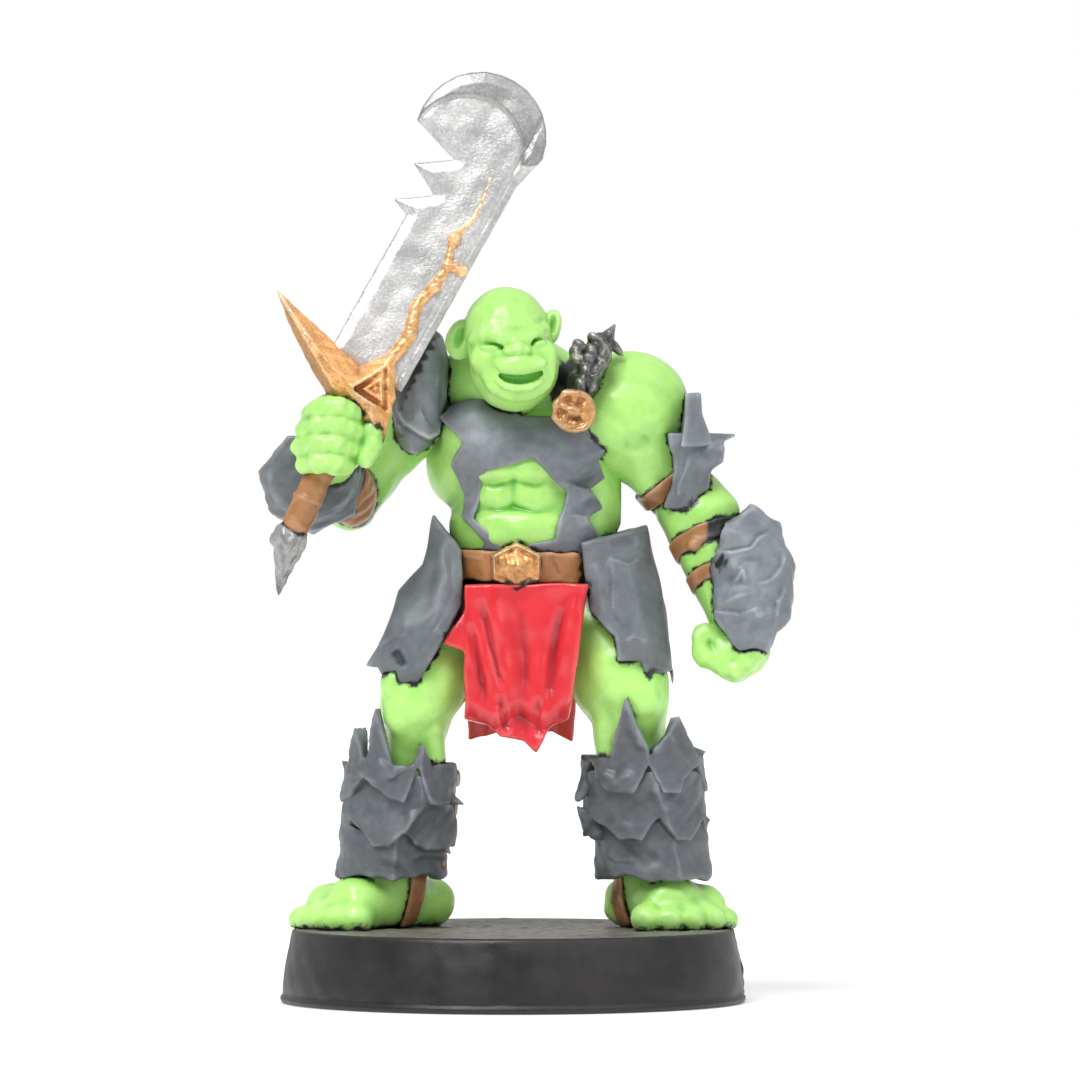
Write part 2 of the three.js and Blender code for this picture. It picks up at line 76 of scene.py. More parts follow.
def ball(centre, radii, roll=0.0, yaw=0.0, pitch=0.0):
    rx, ry, rz = radii if isinstance(radii, (tuple, list)) else (radii,) * 3

    def field(x, y, z):
        u, v, w = turned(x, y, z, centre, roll, yaw, pitch)
        near = np.sqrt((u / rx) ** 2 + (v / ry) ** 2 + (w / rz) ** 2) + 1e-6
        slope = np.sqrt((u / rx**2) ** 2 + (v / ry**2) ** 2 + (w / rz**2) ** 2) + 1e-6
        return near * (near - 1.0) / slope
    return field


def bone(start, end, start_radius, end_radius=None):
    end_radius = start_radius if end_radius is None else end_radius
    ax, ay, az = start
    bx, by, bz = (e - s for e, s in zip(end, start))
    length2 = bx * bx + by * by + bz * bz

    def field(x, y, z):
        px, py, pz = x - ax, y - ay, z - az
        t = np.clip((px * bx + py * by + pz * bz) / length2, 0.0, 1.0)
        away = np.sqrt((px - t * bx) ** 2 + (py - t * by) ** 2 + (pz - t * bz) ** 2)
        return away - (start_radius + t * (end_radius - start_radius))
    return field


def rounded(points, radii):
    """The same run of points with a point added on the curve midway between each pair."""
    run, widths = [points[0]], [radii[0]]
    last = len(points) - 1
    for i in range(last):
        before, after = points[max(i - 1, 0)], points[min(i + 2, last)]
        middle = tuple((9 * (a + b) - p - q) / 16 for a, b, p,
                       q in zip(points[i], points[i + 1], before, after))
        run += [middle, points[i + 1]]
        widths += [(radii[i] + radii[i + 1]) / 2, radii[i + 1]]
    return run, widths


def chain(points, radii, k=0.15):
    radii = radii if isinstance(radii, (tuple, list)) else (radii,) * len(points)
    if len(points) > 2:
        points, radii = rounded(points, radii)
    links = [bone(points[i], points[i + 1], radii[i], radii[i + 1]) for i in range(len(points) - 1)]
    return blend(k, *links) if len(links) > 1 else links[0]


def smooth_min(a, b, k):
    h = np.clip(0.5 + 0.5 * (b - a) / k, 0.0, 1.0)
    return b + (a - b) * h - k * h * (1.0 - h)


def blend(k, *shapes):
    def field(x, y, z):
        total = shapes[0](x, y, z)
        for shape in shapes[1:]:
            total = smooth_min(total, shape(x, y, z), k)
        return total
    return field


def within(k, a, b):
    return lambda x, y, z: -smooth_min(-a(x, y, z), -b(x, y, z), k)


def carve(k, a, b):
    return lambda x, y, z: -smooth_min(-a(x, y, z), b(x, y, z), k)


def grow(shape, by):
    return lambda x, y, z: shape(x, y, z) - by


def shell(shape, thickness):
    def field(x, y, z):
        d = shape(x, y, z)
        return np.maximum(d, -d - thickness)
    return field


def polygon_distance(u, w, points):
    """Signed distance in a plane to a closed outline, negative inside."""
    nearest = np.full(np.broadcast(u, w).shape, 1e9, dtype=np.float32)
    inside = np.zeros(nearest.shape, dtype=bool)
    for (u0, w0), (u1, w1) in zip(points, points[1:] + points[:1]):
        du, dw = u1 - u0, w1 - w0
        pu, pw = u - u0, w - w0
        t = np.clip((pu * du + pw * dw) / (du * du + dw * dw), 0.0, 1.0)
        nearest = np.minimum(nearest, (pu - t * du) ** 2 + (pw - t * dw) ** 2)
        crosses = (w0 > w) != (w1 > w)
        if dw:
            inside ^= crosses & (u < u0 + du * (w - w0) / dw)
    return np.where(inside, -1.0, 1.0) * np.sqrt(nearest)


def outline(points, soft=0.0):
    """An endless prism along Y over an outline of (x, z) points, its corners rounded by soft."""
    return lambda x, y, z: polygon_distance(x, z, points) - soft


def arc(centre, radius, start, end, steps=10):
    """The points of a round stretch, between two angles in degrees."""
    turns = np.radians(np.linspace(start, end, steps + 1))
    return [(centre[0] + radius * math.cos(turn), centre[1] + radius * math.sin(turn)) for turn in turns]


def curve(start, control, end, steps=8):
    """The points of a curve that leaves start and reaches end, drawn towards control."""
    shares = np.linspace(0, 1, steps + 1)
    return [tuple((1 - t) ** 2 * a + 2 * t * (1 - t) * b + t * t * c for a, b, c in zip(start, control, end))
            for t in shares]


def ragged(corners, teeth, bite):
    """An outline through a few corners, anticlockwise, with a count of teeth along each side.

    Each tooth is followed by a notch that is cut in by about bite.
    """
    points = []
    for (x0, z0), (x1, z1), count in zip(corners, corners[1:] + corners[:1], teeth):
        dx, dz = x1 - x0, z1 - z0
        length = math.hypot(dx, dz)
        points.append((x0, z0))
        for n in range(count):
            deep = bite * (0.8 + 0.3 * math.sin(2.3 * n + x0)) / length
            notch, tip = (n + 0.6) / count, (n + 1) / count
            points.append((x0 + notch * dx - deep * dz, z0 + notch * dz + deep * dx))
            if n < count - 1:
                points.append((x0 + tip * dx, z0 + tip * dz))
    return points


def panel(foot, top, widths, teeth, bite=0.7):
    """An outline that runs up from foot to top, with a width at each and teeth on its four sides."""
    dx, dz = top[0] - foot[0], top[1] - foot[1]
    length = math.hypot(dx, dz)
    beside = lambda point, out: (point[0] + out * dz / length, point[1] - out * dx / length)
    corners = [beside(foot, -widths[0] / 2), beside(foot, widths[0] / 2),
               beside(top, widths[1] / 2), beside(top, -widths[1] / 2)]
    return ragged(corners, teeth, bite)


def oval(centre, half_width, half_height, teeth=24, bite=0.0):
    """An oval; with a bite, its edge is cut in by that share of its radius between its teeth."""
    steps = 2 * teeth if bite else teeth
    points = []
    for n in range(steps):
        turn = 2 * math.pi * (n + 0.5) / steps
        out = 1 - bite * (n % 2)
        points.append((centre[0] + out * half_width * math.cos(turn),
                       centre[1] + out * half_height * math.sin(turn)))
    return points


def within_box(node, *shares):
    """The (x, z) points at these shares of a node's box, from its -X side and from its foot."""
    low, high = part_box(node)
    return [((low[0] + across * (high[0] - low[0])) / MM, (low[2] + up * (high[2] - low[2])) / MM)
            for across, up in shares]


def oval_of(node, teeth=24, bite=0.0):
    """The oval that fills a node's box, seen from the front."""
    low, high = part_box(node)
    centre = [(low[i] + high[i]) / 2 / MM for i in (0, 2)]
    half_width, half_height = [(high[i] - low[i]) / 2 / MM for i in (0, 2)]
    return oval(centre, half_width, half_height, teeth, bite)


def between(front, back):
    """The slab of space between two depths; each is a number or a function of x and z."""
    def field(x, y, z):
        near = front(x, z) if callable(front) else front
        far = back(x, z) if callable(back) else back
        return np.maximum(near - y, y - far)
    return field


def slice_across(centre, direction, width):
    length = math.sqrt(sum(c * c for c in direction))
    nx, ny, nz = (c / length for c in direction)

    def field(x, y, z):
        along = (x - centre[0]) * nx + (y - centre[1]) * ny + (z - centre[2]) * nz
        return np.abs(along) - width / 2
    return field


def trace(x, z, points):
    """Distance in the XZ plane to a line of points, the side it lies on and a fade at both ends."""
    near = np.full(np.broadcast(x, z).shape, 1e9, dtype=np.float32)
    side, fade = np.zeros_like(near), np.zeros_like(near)
    links = len(points) - 1
    for n, ((x0, z0), (x1, z1)) in enumerate(zip(points, points[1:])):
        dx, dz = x1 - x0, z1 - z0
        t = np.clip(((x - x0) * dx + (z - z0) * dz) / (dx * dx + dz * dz), 0.0, 1.0)
        away = (x - x0 - t * dx) ** 2 + (z - z0 - t * dz) ** 2
        closer = away < near
        near = np.where(closer, away, near)
        side = np.where(closer, np.sign(dx * (z - z0) - dz * (x - x0)), side)
        along = (n + t) / links
        fade = np.where(closer, np.clip(np.minimum(along, 1 - along) * 5, 0, 1), fade)
    return np.sqrt(near), side, fade


def relief(shape, ridges=(), steps=(), front=0.0):
    """Ridges (points, width, height) and steps: a step rises on the left of its run and fades out."""
    def field(x, y, z):
        lift = 0.0
        for points, width, height in ridges:
            away, _, fade = trace(x, z, points)
            lift = lift + height * fade * np.exp(-(away / width) ** 2)
        for points, width, height in steps:
            away, side, fade = trace(x, z, points)
            edge = np.clip(0.5 + away * side / 0.12, 0, 1)
            lift = lift + height * fade * edge * np.exp(-away / width)
        facing = np.clip((front - y) / 0.8, 0.0, 1.0)
        return shape(x, y, z) - lift * facing
    return field


def front_of(shape, x, z, start=-10.0, end=3.0):
    """Depth at which a line running back at (x, z) first meets the shape."""
    y = np.linspace(start, end, 500)
    inside = shape(np.full(500, float(x)), y, np.full(500, float(z))) < 0
    return float(y[inside.argmax()]) if inside.any() else end


def waves(x, y, z, size, seed):
    """Smooth uneven ripples of about the given size, from -1 to 1."""
    rng = np.random.default_rng(seed)
    total = 0.0
    for _ in range(5):
        direction = rng.normal(size=3)
        direction /= np.linalg.norm(direction)
        phase = rng.uniform(0, 2 * math.pi)
        pace = 2 * math.pi / (size * rng.uniform(0.7, 1.5))
        total = total + np.sin(pace * (direction[0] * x + direction[1] * y + direction[2] * z) + phase)
    return total / 3.0


def uneven(shape, size, height, seed):
    return lambda x, y, z: shape(x, y, z) - height * waves(x, y, z, size, seed)


def crown(level, spikes=(), scallop=0.0):
    """An uneven rim round an upright axis: spikes are (angle, rise, half width) in degrees and mm."""
    def height(angle):
        rim = level + scallop * np.abs(np.sin(np.radians(2.5 * angle)))
        for where, rise, half_width in spikes:
            off = np.abs((angle - where + 180) % 360 - 180)
            rim = rim + rise * np.clip(1 - off / half_width, 0, 1)
        return rim
    return height


def collar(centre, top, bottom):
    """Keeps what lies between two crowns; angle 0 faces front and 90 is the figure's left."""
    def field(x, y, z):
        angle = np.degrees(np.arctan2(x - centre[0], -(y - centre[1])))
        return 0.7 * np.maximum(z - top(angle), bottom(angle) - z)
    return field


# ---------------------------------------------------------------- pieces
class Piece:
    def __init__(self, name, slot, nodes, shape, step=STEP, reach=MARGIN, bare=None, tone=1.0):
        self.name, self.slot, self.nodes = name, slot, nodes
        self.shape, self.bare, self.tone = shape, bare, tone
        corners = [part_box(node) for node in nodes]
        low = [min(c[0][i] for c in corners) / MM - reach for i in range(3)]
        high = [max(c[1][i] for c in corners) / MM + reach for i in range(3)]
        self.low, self.step = np.array(low), step
        self.axes = [np.arange(a, b, step, dtype=np.float32) for a, b in zip(low, high)]
        x, y, z = self.axes[0][:, None, None], self.axes[1][None, :, None], self.axes[2][None, None, :]
        counts = tuple(len(axis) for axis in self.axes)
        self.grid = np.array(np.broadcast_to(shape(x, y, z), counts), dtype=np.float32)
        for axis in range(3):
            edge = [slice(None)] * 3
            for end in (0, -1):
                edge[axis] = end
                self.grid[tuple(edge)] = np.maximum(self.grid[tuple(edge)], 0.02)
        band = 3 * step
        volume = openvdb.FloatGrid(background=band)
        volume.copyFromArray(np.clip(self.grid, -band, band))
        corner, quads = volume.convertToQuads(isovalue=0.0)
        self.points = corner.astype(np.float64) * step + self.low
        self.quads = quads
        self.keep_largest()

    def keep_largest(self):
        """Drops crumbs that the outlines leave loose."""
        label = np.arange(len(self.points))
        quads = self.quads
        for _ in range(400):
            lowest = label[quads].min(axis=1)
            update = label.copy()
            for column in range(4):
                np.minimum.at(update, quads[:, column], lowest)
            update = update[update]
            if np.array_equal(update, label):
                break
            label = update
        names, counts = np.unique(label, return_counts=True)
        kept = label == names[counts.argmax()]
        if not kept.all():
            fresh = np.cumsum(kept) - 1
            self.quads = fresh[quads[kept[quads[:, 0]]]]
            self.points = self.points[kept]

    def sample(self, points, grid=None):
        """The distance field at any points, by trilinear interpolation; far away it is large."""
        grid = self.grid if grid is None else grid
        where = (points - self.low) / self.step
        limit = np.array(grid.shape) - 1.001
        outside = ((where < 0) | (where > limit)).any(axis=1)
        where = np.clip(where, 0, limit)
        base = where.astype(int)
        f = where - base
        total = np.zeros(len(points))
        for i in (0, 1):
            for j in (0, 1):
                for k in (0, 1):
                    weight = np.abs(1 - i - f[:, 0]) * np.abs(1 - j - f[:, 1]) * np.abs(1 - k - f[:, 2])
                    total += weight * grid[base[:, 0] + i, base[:, 1] + j, base[:, 2] + k]
        total[outside] = 9.0
        return total

    def hollowness(self, radius):
        """How far each point lies in a hollow, from the field's mean over a cube minus the field."""
        reach = max(1, round(radius / self.step))
        mean = np.clip(self.grid, -3 * radius, 3 * radius)
        for axis in range(3):
            padded = np.concatenate(
                [np.repeat(mean.take([0], axis), reach + 1, axis), mean,
                 np.repeat(mean.take([-1], axis), reach, axis)], axis)
            total = np.cumsum(padded, axis=axis, dtype=np.float64)
            upper = [slice(None)] * 3
            lower = [slice(None)] * 3
            upper[axis] = slice(2 * reach + 1, None)
            lower[axis] = slice(None, -(2 * reach + 1))
            mean = ((total[tuple(upper)] - total[tuple(lower)]) / (2 * reach + 1)).astype(np.float32)
        return (self.sample(self.points) - self.sample(self.points, mean)) / radius


pieces = []


def piece(name, slot, shape, *nodes, **options):
    pieces.append(Piece(name, slot, nodes or (name,), shape, **options))


# ---------------------------------------------------------------- feet and legs
def foot(heel, ankle, instep, outer, toes, seed):
    sole = BASE_TOP - 0.02
    lumps = [bone(heel, instep, 1.15, 1.35), bone(ankle, instep, 1.8, 1.25), bone(heel, outer, 1.15, 1.15)]
    lumps.append(bone(instep, outer, 1.15, 0.95))
    body = blend(0.8, *lumps)
    for (x, y, r) in toes:
        root = (0.55 * x + 0.45 * instep[0], 0.55 * y + 0.45 * instep[1], sole + 1.05)
        toe = blend(0.3, bone(root, (x, y, sole + 0.72 * r), 0.85 * r, 0.86 * r),
                    ball((x, y - 0.02, sole + 0.6 * r), (0.9 * r, 0.92 * r, 0.76 * r)))
        body = blend(0.34, body, toe)
    body = within(0.12, body, lambda x, y, z: sole - z)
    return uneven(body, 1.3, 0.045, seed)


RIGHT_TOES = [(-8.35, -2.35, 0.98), (-9.35, -2.05, 0.86), (-10.2, -1.4, 0.84), (-10.9, -0.55, 0.8),
              (-11.35, 0.4, 0.72)]
LEFT_TOES = [(7.2, -2.3, 0.98), (8.35, -2.3, 0.9), (9.5, -1.9, 0.86), (10.55, -1.15, 0.82),
             (11.4, -0.15, 0.72)]
right_foot = foot((-4.5, 2.6, 5.2), (-6.3, 0.8, 6.4), (-8.3, -0.9, 5.3), (-9.9, 0.9, 5.0), RIGHT_TOES, 11)
left_foot = foot((6.2, 2.0, 5.2), (7.5, 0.7, 6.4), (8.3, -1.0, 5.3), (10.2, 0.4, 5.0), LEFT_TOES, 12)
# The tones brighten the feet as painted light, standing in for more light from the front.
piece("right_foot", "skin_green", right_foot, tone=1.2)
piece("left_foot", "skin_green", left_foot, tone=1.05)


def strap(limb, centre, direction, width, lift=0.24, seed=1):
    band = within(0.1, grow(limb, lift), slice_across(centre, direction, width))
    return uneven(within(0.05, band, lambda x, y, z: BASE_TOP + 0.02 - z), 1.1, 0.03, seed)


piece("right_foot_strap", "leather_brown", strap(right_foot, (-5.9, 1.3, 5.4), (-0.9, -0.35, 0.1), 0.95,
    0.26))
piece("left_foot_strap", "leather_brown", strap(left_foot, (6.1, 1.0, 5.4), (0.85, -0.5, 0.1), 0.95, seed=2))

right_leg = blend(
    0.9,
    bone((-2.4, 0.7, 20.8), (-4.6, -1.3, 17.2), 2.7, 2.2),
    ball((-5.3, -1.9, 15.8), (1.8, 1.85, 1.75)),
    bone((-5.2, -1.0, 14.6), (-6.3, 0.5, 8.2), 1.65, 1.45),
    ball((-3.9, -1.8, 17.6), (1.3, 1.5, 1.9)),
)
right_leg = blend(0.28, right_leg, ball((-5.9, -3.0, 15.4), (0.95, 0.7, 0.95)),
                  ball((-6.3, -2.4, 17.1), (0.75, 0.9, 1.0)),
                  ball((-4.75, -3.1, 16.9), (0.8, 0.6, 0.9)),
                  bone((-4.3, -2.3, 14.6), (-4.2, -1.9, 13.0), 0.7, 0.6))
left_leg = blend(
    0.9,
    bone((3.9, 0.7, 20.6), (5.6, -1.3, 17.8), 2.65, 2.5),
    ball((6.5, -1.9, 16.4), (1.85, 1.85, 1.9)),
    bone((6.2, -1.0, 15.2), (7.4, 0.5, 8.2), 1.9, 1.5),
    ball((5.0, -1.4, 17.2), (1.9, 1.6, 2.0)),
)
left_leg = blend(0.28, left_leg, ball((6.9, -3.3, 16.2), (0.9, 0.65, 0.9)),
                 bone((4.9, -2.3, 16.4), (5.2, -1.9, 13.2), 0.85, 0.75),
                 ball((5.4, -3.0, 18.0), (0.9, 0.6, 1.1)),
                 bone((6.9, -2.9, 18.6), (7.2, -3.0, 17.2), 0.6, 0.5))
black_above = lambda height: lambda x, y, z: height - z + 0.2 * waves(x, y, z, 0.7, 2)
# The tones brighten the legs as painted light, standing in for more light from the front.
piece("right_leg", "skin_green", uneven(right_leg, 1.6, 0.05, 3), bare=black_above(20.2), tone=1.14)
piece("left_leg", "skin_green", uneven(left_leg, 1.6, 0.05, 4), bare=black_above(21.3), tone=1.12)


# ---------------------------------------------------------------- greaves
def greave_plate(axis, radii, flare, rim, foot_rim, keel, opening, thickness=0.7):
    """A curved shin plate with a keel, standing off more at its lower edge, open at its inner back.

    axis is the centre at the bottom and at the top of the plate, and radii its half width and
    half depth. The keel is a list of (height, angle), and opening a pair of angles.
    """
    (x0, y0, z0), (x1, y1, z1) = axis
    keel_heights, keel_angles = zip(*sorted(keel))

    def wall(x, y, z):
        t = np.clip((z - z0) / (z1 - z0), -0.3, 1.3)
        u, v = x - (x0 + t * (x1 - x0)), y - (y0 + t * (y1 - y0))
        angle = np.degrees(np.arctan2(u, -v))
        ridge = np.interp(z, keel_heights, keel_angles)
        off = np.abs((angle - ridge + 180) % 360 - 180)
        around = np.sqrt((u / radii[0]) ** 2 + (v / radii[1]) ** 2)
        out = 0.3 * np.exp(-off / 11.0) + flare * np.clip(1.1 - t, 0, 1.2) ** 2
        d = (around - 1.0) * min(radii) - out
        gap = np.radians(np.minimum(angle - opening[0], opening[1] - angle)) * radii[0]
        return np.maximum(np.maximum(d, -d - thickness), gap)

    return within(0.1, wall, collar(((x0 + x1) / 2, (y0 + y1) / 2), rim, foot_rim))


def greave(side, plates, keel, opening, spikes, scales, creases):
    for n, (name, axis, radii, flare, rim, foot_rim) in enumerate(plates):
        shape = greave_plate(axis, radii, flare, rim, foot_rim, keel, opening)
        shape = relief(shape, creases, scales.get(name, ()), front=1.0)
        if name in spikes:
            shape = blend(0.25, shape, *[bone(a, b, thick, 0.05) for a, b, thick in spikes[name]])
        shape = uneven(uneven(shape, 2.2, 0.12, 20 + n), 0.8, 0.03, 60 + n)
        piece(f"{side}_greave_{name}", "armour_grey", shape, reach=1.4, tone=0.8)


greave("right", [
    ("lower", ((-6.6, 0.3, 6.5), (-6.4, 0.0, 9.6)), (2.86, 2.68), 0.1, crown(9.6), crown(6.5, scallop=0.35)),
    ("middle", ((-6.2, -0.1, 8.4), (-5.95, -0.5, 12.4)), (2.92, 2.78), 0.13,
     crown(12.2), crown(8.3, [(-60, 1.5, 30), (5, 1.0, 15)])),
    ("upper", ((-6.1, -0.5, 11.0), (-5.95, -1.0, 15.5)), (2.92, 2.86), 0.13,
     crown(12.8, [(-55, 2.0, 15), (-25, 3.0, 18), (25, 0.9, 15)]),
     crown(10.8, [(-40, 1.5, 30), (20, 1.6, 15)])),
], [(6.5, 4), (9.0, 5), (10.5, 22), (16, 24)], (104, 172),
    {"upper": [((-4.0, -1.2, 11.2), (-2.6, -1.7, 10.6), 0.5), ((-8.6, -0.8, 12.4), (-9.15, -1.0, 12.9), 0.4)],
     "middle": [((-4.2, -1.0, 8.7), (-3.35, -1.5, 8.0), 0.45), ((-8.8, -0.6, 8.9), (-9.45, -0.8, 8.6), 0.4)],
     "lower": [((-8.9, -0.4, 7.2), (-9.5, -0.6, 6.75), 0.34)]},
    {"upper": [([(-8.6, 12.8), (-8.0, 12.0), (-7.0, 11.7), (-5.5, 12.6)], 0.5, 0.1)],
     "lower": [([(-5.4, 7.6), (-4.6, 7.9), (-3.6, 7.7)], 0.4, 0.12)]},
    [([(-7.5, 13.2), (-6.4, 12.2), (-5.3, 12.9)], 0.26, 0.14),
     ([(-8.4, 11.4), (-8.0, 9.9), (-7.0, 9.1)], 0.3, 0.12),
     ([(-5.1, 12.3), (-4.6, 11.0), (-3.4, 10.4)], 0.26, 0.14),
     ([(-7.9, 15.0), (-8.0, 13.6), (-8.3, 12.6)], 0.2, 0.12),
     ([(-6.7, 8.4), (-5.6, 9.4), (-5.2, 10.4)], 0.25, 0.12),
     ([(-7.6, 7.9), (-6.3, 7.6), (-5.0, 6.9)], 0.3, 0.1),
     ([(-6.9, 11.2), (-6.3, 10.4), (-5.6, 10.0)], 0.35, -0.1)])
greave("left", [
    ("lower", ((7.5, 0.3, 6.5), (7.35, 0.0, 9.8)), (3.02, 2.78), 0.08, crown(9.8), crown(6.5, scallop=0.3)),
    ("middle", ((7.1, -0.1, 8.7), (6.95, -0.5, 12.6)), (3.26, 2.94), 0.12,
     crown(12.4), crown(8.8, [(-60, 1.1, 30), (15, 1.1, 18), (70, 1.1, 20)])),
    ("upper", ((6.95, -0.5, 11.2), (6.95, -1.0, 15.8)), (3.26, 3.02), 0.13,
     crown(13.2, [(-15, 3.0, 22), (35, 2.1, 28)]), crown(11.4,
         [(-65, 1.5, 25), (5, 1.3, 15), (65, 1.4, 25)])),
], [(6.5, 26), (9.8, 22), (11.5, 12), (13.5, 3), (16.2, -17)], (-172, -106),
    {"upper": [((4.3, -1.0, 12.6), (3.5, -1.4, 10.9), 0.5), ((9.5, -1.0, 13.3), (10.35, -1.1, 13.4), 0.4)],
     "middle": [((4.5, -0.9, 9.2), (3.45, -1.3, 10.5), 0.55), ((9.9, -0.6, 9.5), (10.6, -0.8, 9.8), 0.4)],
     "lower": [((4.8, -0.4, 7.4), (4.6, -0.8, 6.8), 0.34)]},
    {"lower": [([(4.8, 8.0), (5.6, 7.5), (6.8, 7.6)], 0.4, 0.1)]},
    [([(5.9, 15.4), (6.8, 13.9), (8.2, 13.3)], 0.28, 0.14),
     ([(8.4, 14.6), (8.8, 13.4), (9.7, 12.7)], 0.24, 0.14),
     ([(4.4, 12.6), (5.4, 11.9), (6.6, 12.4)], 0.26, 0.12),
     ([(5.0, 10.9), (5.6, 9.6), (6.7, 9.2)], 0.3, 0.12),
     ([(7.4, 11.9), (7.9, 10.6), (9.2, 10.2)], 0.28, 0.12), ([(8.2, 9.0), (8.5, 8.0), (9.2, 7.2)], 0.3, 0.1),
     ([(6.0, 8.2), (7.0, 7.4), (7.9, 7.9)], 0.3, -0.1)])

STRAP_HEIGHTS = (12.0, 10.3, 7.5)
for side, centres, inward in (("right", (-5.7, -5.8, -6.4), 1), ("left", (6.8, 6.9, 7.3), -1)):
    for n, (z, x) in enumerate(zip(STRAP_HEIGHTS, centres), 1):
        around = ball((x, 0.2, z), (2.85, 2.75, 2.2))
        band = within(0.12, shell(around, 0.9), slice_across((x, 0, z), (0, 0.1, 1), 0.85))
        side_only = lambda x_, y_, z_, x=x: 0.4 - inward * (x_ - x) * 0.8 - y_ * 0.6
        piece(f"{side}_greave_strap_{n}", "leather_brown",
              uneven(within(0.1, band, side_only), 1.0, 0.05, 30 + n),
              reach=1.6)

# ---------------------------------------------------------------- body
hips = blend(0.7, ball((0.65, 0.6, 21.6), (4.1, 3.0, 2.6)),
             bone((-1.4, 0.6, 20.8), (-2.0, 0.3, 19.6), 2.1, 1.9),
             bone((2.7, 0.6, 20.8), (3.3, 0.3, 19.6), 2.1, 1.9), ball((0.65, -1.6, 20.6), (1.5, 1.4, 1.8)))
piece("hips", "base_black", uneven(hips, 1.4, 0.06, 44))

chest = blend(
    0.9,
    ball((0.95, 0.4, 25.4), (4.35, 3.3, 3.4)),
    ball((0.85, 0.4, 29.2), (4.9, 3.6, 3.5)),
    ball((-1.6, -1.6, 30.3), (2.2, 1.7, 1.7), 10),
    ball((3.0, -1.6, 30.1), (2.4, 1.7, 1.8), -10),
)
BELLY_BLOCKS = [((-1.0, 28.35), (0.95, 0.55)), ((0.95, 28.35), (0.95, 0.55)), ((-0.8, 27.05), (0.95, 0.62)),
                ((1.1, 27.05), (1.05, 0.62)), ((-0.6, 25.7), (1.2, 0.6)), ((1.2, 25.7), (1.2, 0.6)),
                ((0.3, 24.9), (1.6, 0.7))]
abdomen = blend(0.5, chest, *[ball((x, front_of(chest, x, z) + 0.22, z), (rx, 0.55, rz)) for (x, z),
                              (rx, rz) in BELLY_BLOCKS])
abdomen = relief(abdomen, [([(0.05, 28.6), (0.05, 26.2)], 0.2, -0.07),
                           ([(-2.0, 27.85), (-1.0, 27.6), (0.1, 27.9), (1.2, 27.6), (2.0, 27.9)], 0.16,
                            -0.08),
                           ([(-1.8, 26.5), (-0.8, 26.3), (0.1, 26.5), (1.2, 26.2), (2.2, 26.3)], 0.16, -0.1)])
shoulders = blend(0.8, ball((-0.2, 0.0, 33.3), (3.8, 2.9, 2.5)),
                  bone((3.6, 0.4, 32.2), (0.5, 0.6, 33.4), 2.0, 2.0))
flanks = blend(0.5, ball((4.3, 0.7, 27.5), (1.8, 2.4, 3.3)), ball((-2.95, 0.9, 28.9), (1.72, 2.3, 2.4)))
back = blend(0.7, ball((-1.9, 2.4, 31.6), (2.2, 1.5, 2.4), 12), ball((3.2, 2.4, 31.4), (2.2, 1.5, 2.4), -12))
torso = blend(0.6, abdomen, shoulders, flanks, back)
piece("torso", "skin_green", uneven(torso, 1.8, 0.05, 5),
      bare=lambda x, y, z: np.maximum(np.hypot(x - 3.3, z - 33.0) - 1.45 + 0.3 * waves(x, y, z, 0.6, 2),
                                      y - 0.5))

VEST_CORNERS = within_box("vest", (0.2, -0.1), (0.95, -0.1), (1, 0.6), (0.8, 0.8), (0.5, 0.8), (0.2, 1),
                          (0, 0.8))
VEST = ragged(VEST_CORNERS, (0, 4, 0, 0, 0, 0, 3), 0.9)
BELLY = oval((0.4, 26.6), 2.6, 2.6, 6, 0.16)
jerkin = grow(chest, 0.34)
jerkin = blend(0.5, jerkin, ball((-4.3, -0.6, 30.9), (1.6, 2.0, 1.6)))
jerkin = relief(
    jerkin,
    [([(2.3, 28.6), (3.9, 29.0), (5.4, 29.8)], 0.35, 0.14),
     ([(2.6, 27.3), (4.0, 27.9), (5.0, 28.6)], 0.3, -0.1),
     ([(3.2, 26.6), (4.4, 27.2), (5.7, 27.7)], 0.3, 0.16),
     ([(3.2, 25.2), (4.4, 25.9), (5.7, 26.4)], 0.3, 0.14),
     ([(-4.2, 28.6), (-3.2, 27.7), (-2.3, 26.6)], 0.4, 0.12),
     ([(-4.0, 26.9), (-3.1, 26.0), (-2.4, 24.9)], 0.35, 0.1),
     ([(-0.6, 31.2), (-1.3, 30.0), (-2.2, 29.2)], 0.3, -0.08),
     ([(-1.2, 29.5), (0.6, 29.6), (2.6, 29.0)], 0.4, 0.08)],
    [([(5.3, 27.9), (3.9, 27.5), (2.4, 27.9)], 0.8, 0.16),
     ([(5.6, 26.6), (4.1, 26.0), (2.8, 26.2)], 0.7, 0.16),
     ([(-2.2, 27.2), (-3.1, 26.8), (-4.0, 27.7)], 0.6, 0.1)],
    front=1.0)
front_opening = within(0.05, outline(BELLY), lambda x, y, z: y + 0.5)
vest = carve(0.12, within(0.12, jerkin, outline(VEST)), front_opening)


def vest_painted_highlight(x, y, z):
    """A painted highlight on the upper right chest, and duller towards the belt."""
    chest_highlight = np.exp(-((x + 1.6) / 1.3) ** 2 - ((z - 30.2) / 0.8) ** 2)
    return 1.3 + 0.6 * chest_highlight - 0.25 * np.clip((27 - z) / 3, 0, 1)


piece("vest", "armour_grey", uneven(vest, 1.5, 0.05, 6), reach=1.4, tone=vest_painted_highlight)

# ---------------------------------------------------------------- head
skull = blend(0.8, ball((-0.34, -3.5, 35.85), (2.28, 2.6, 2.34)),
              ball((0.1, -4.1, 33.85), (2.34, 2.4, 2.25), -6))


def on_face(x, z, lift=0.0):
    return (x, front_of(skull, x, z) - lift, z)


def face_line(radii, *spots, lift=0.0, k=0.12):
    return chain([on_face(x, z, lift) for x, z in spots], radii, k)


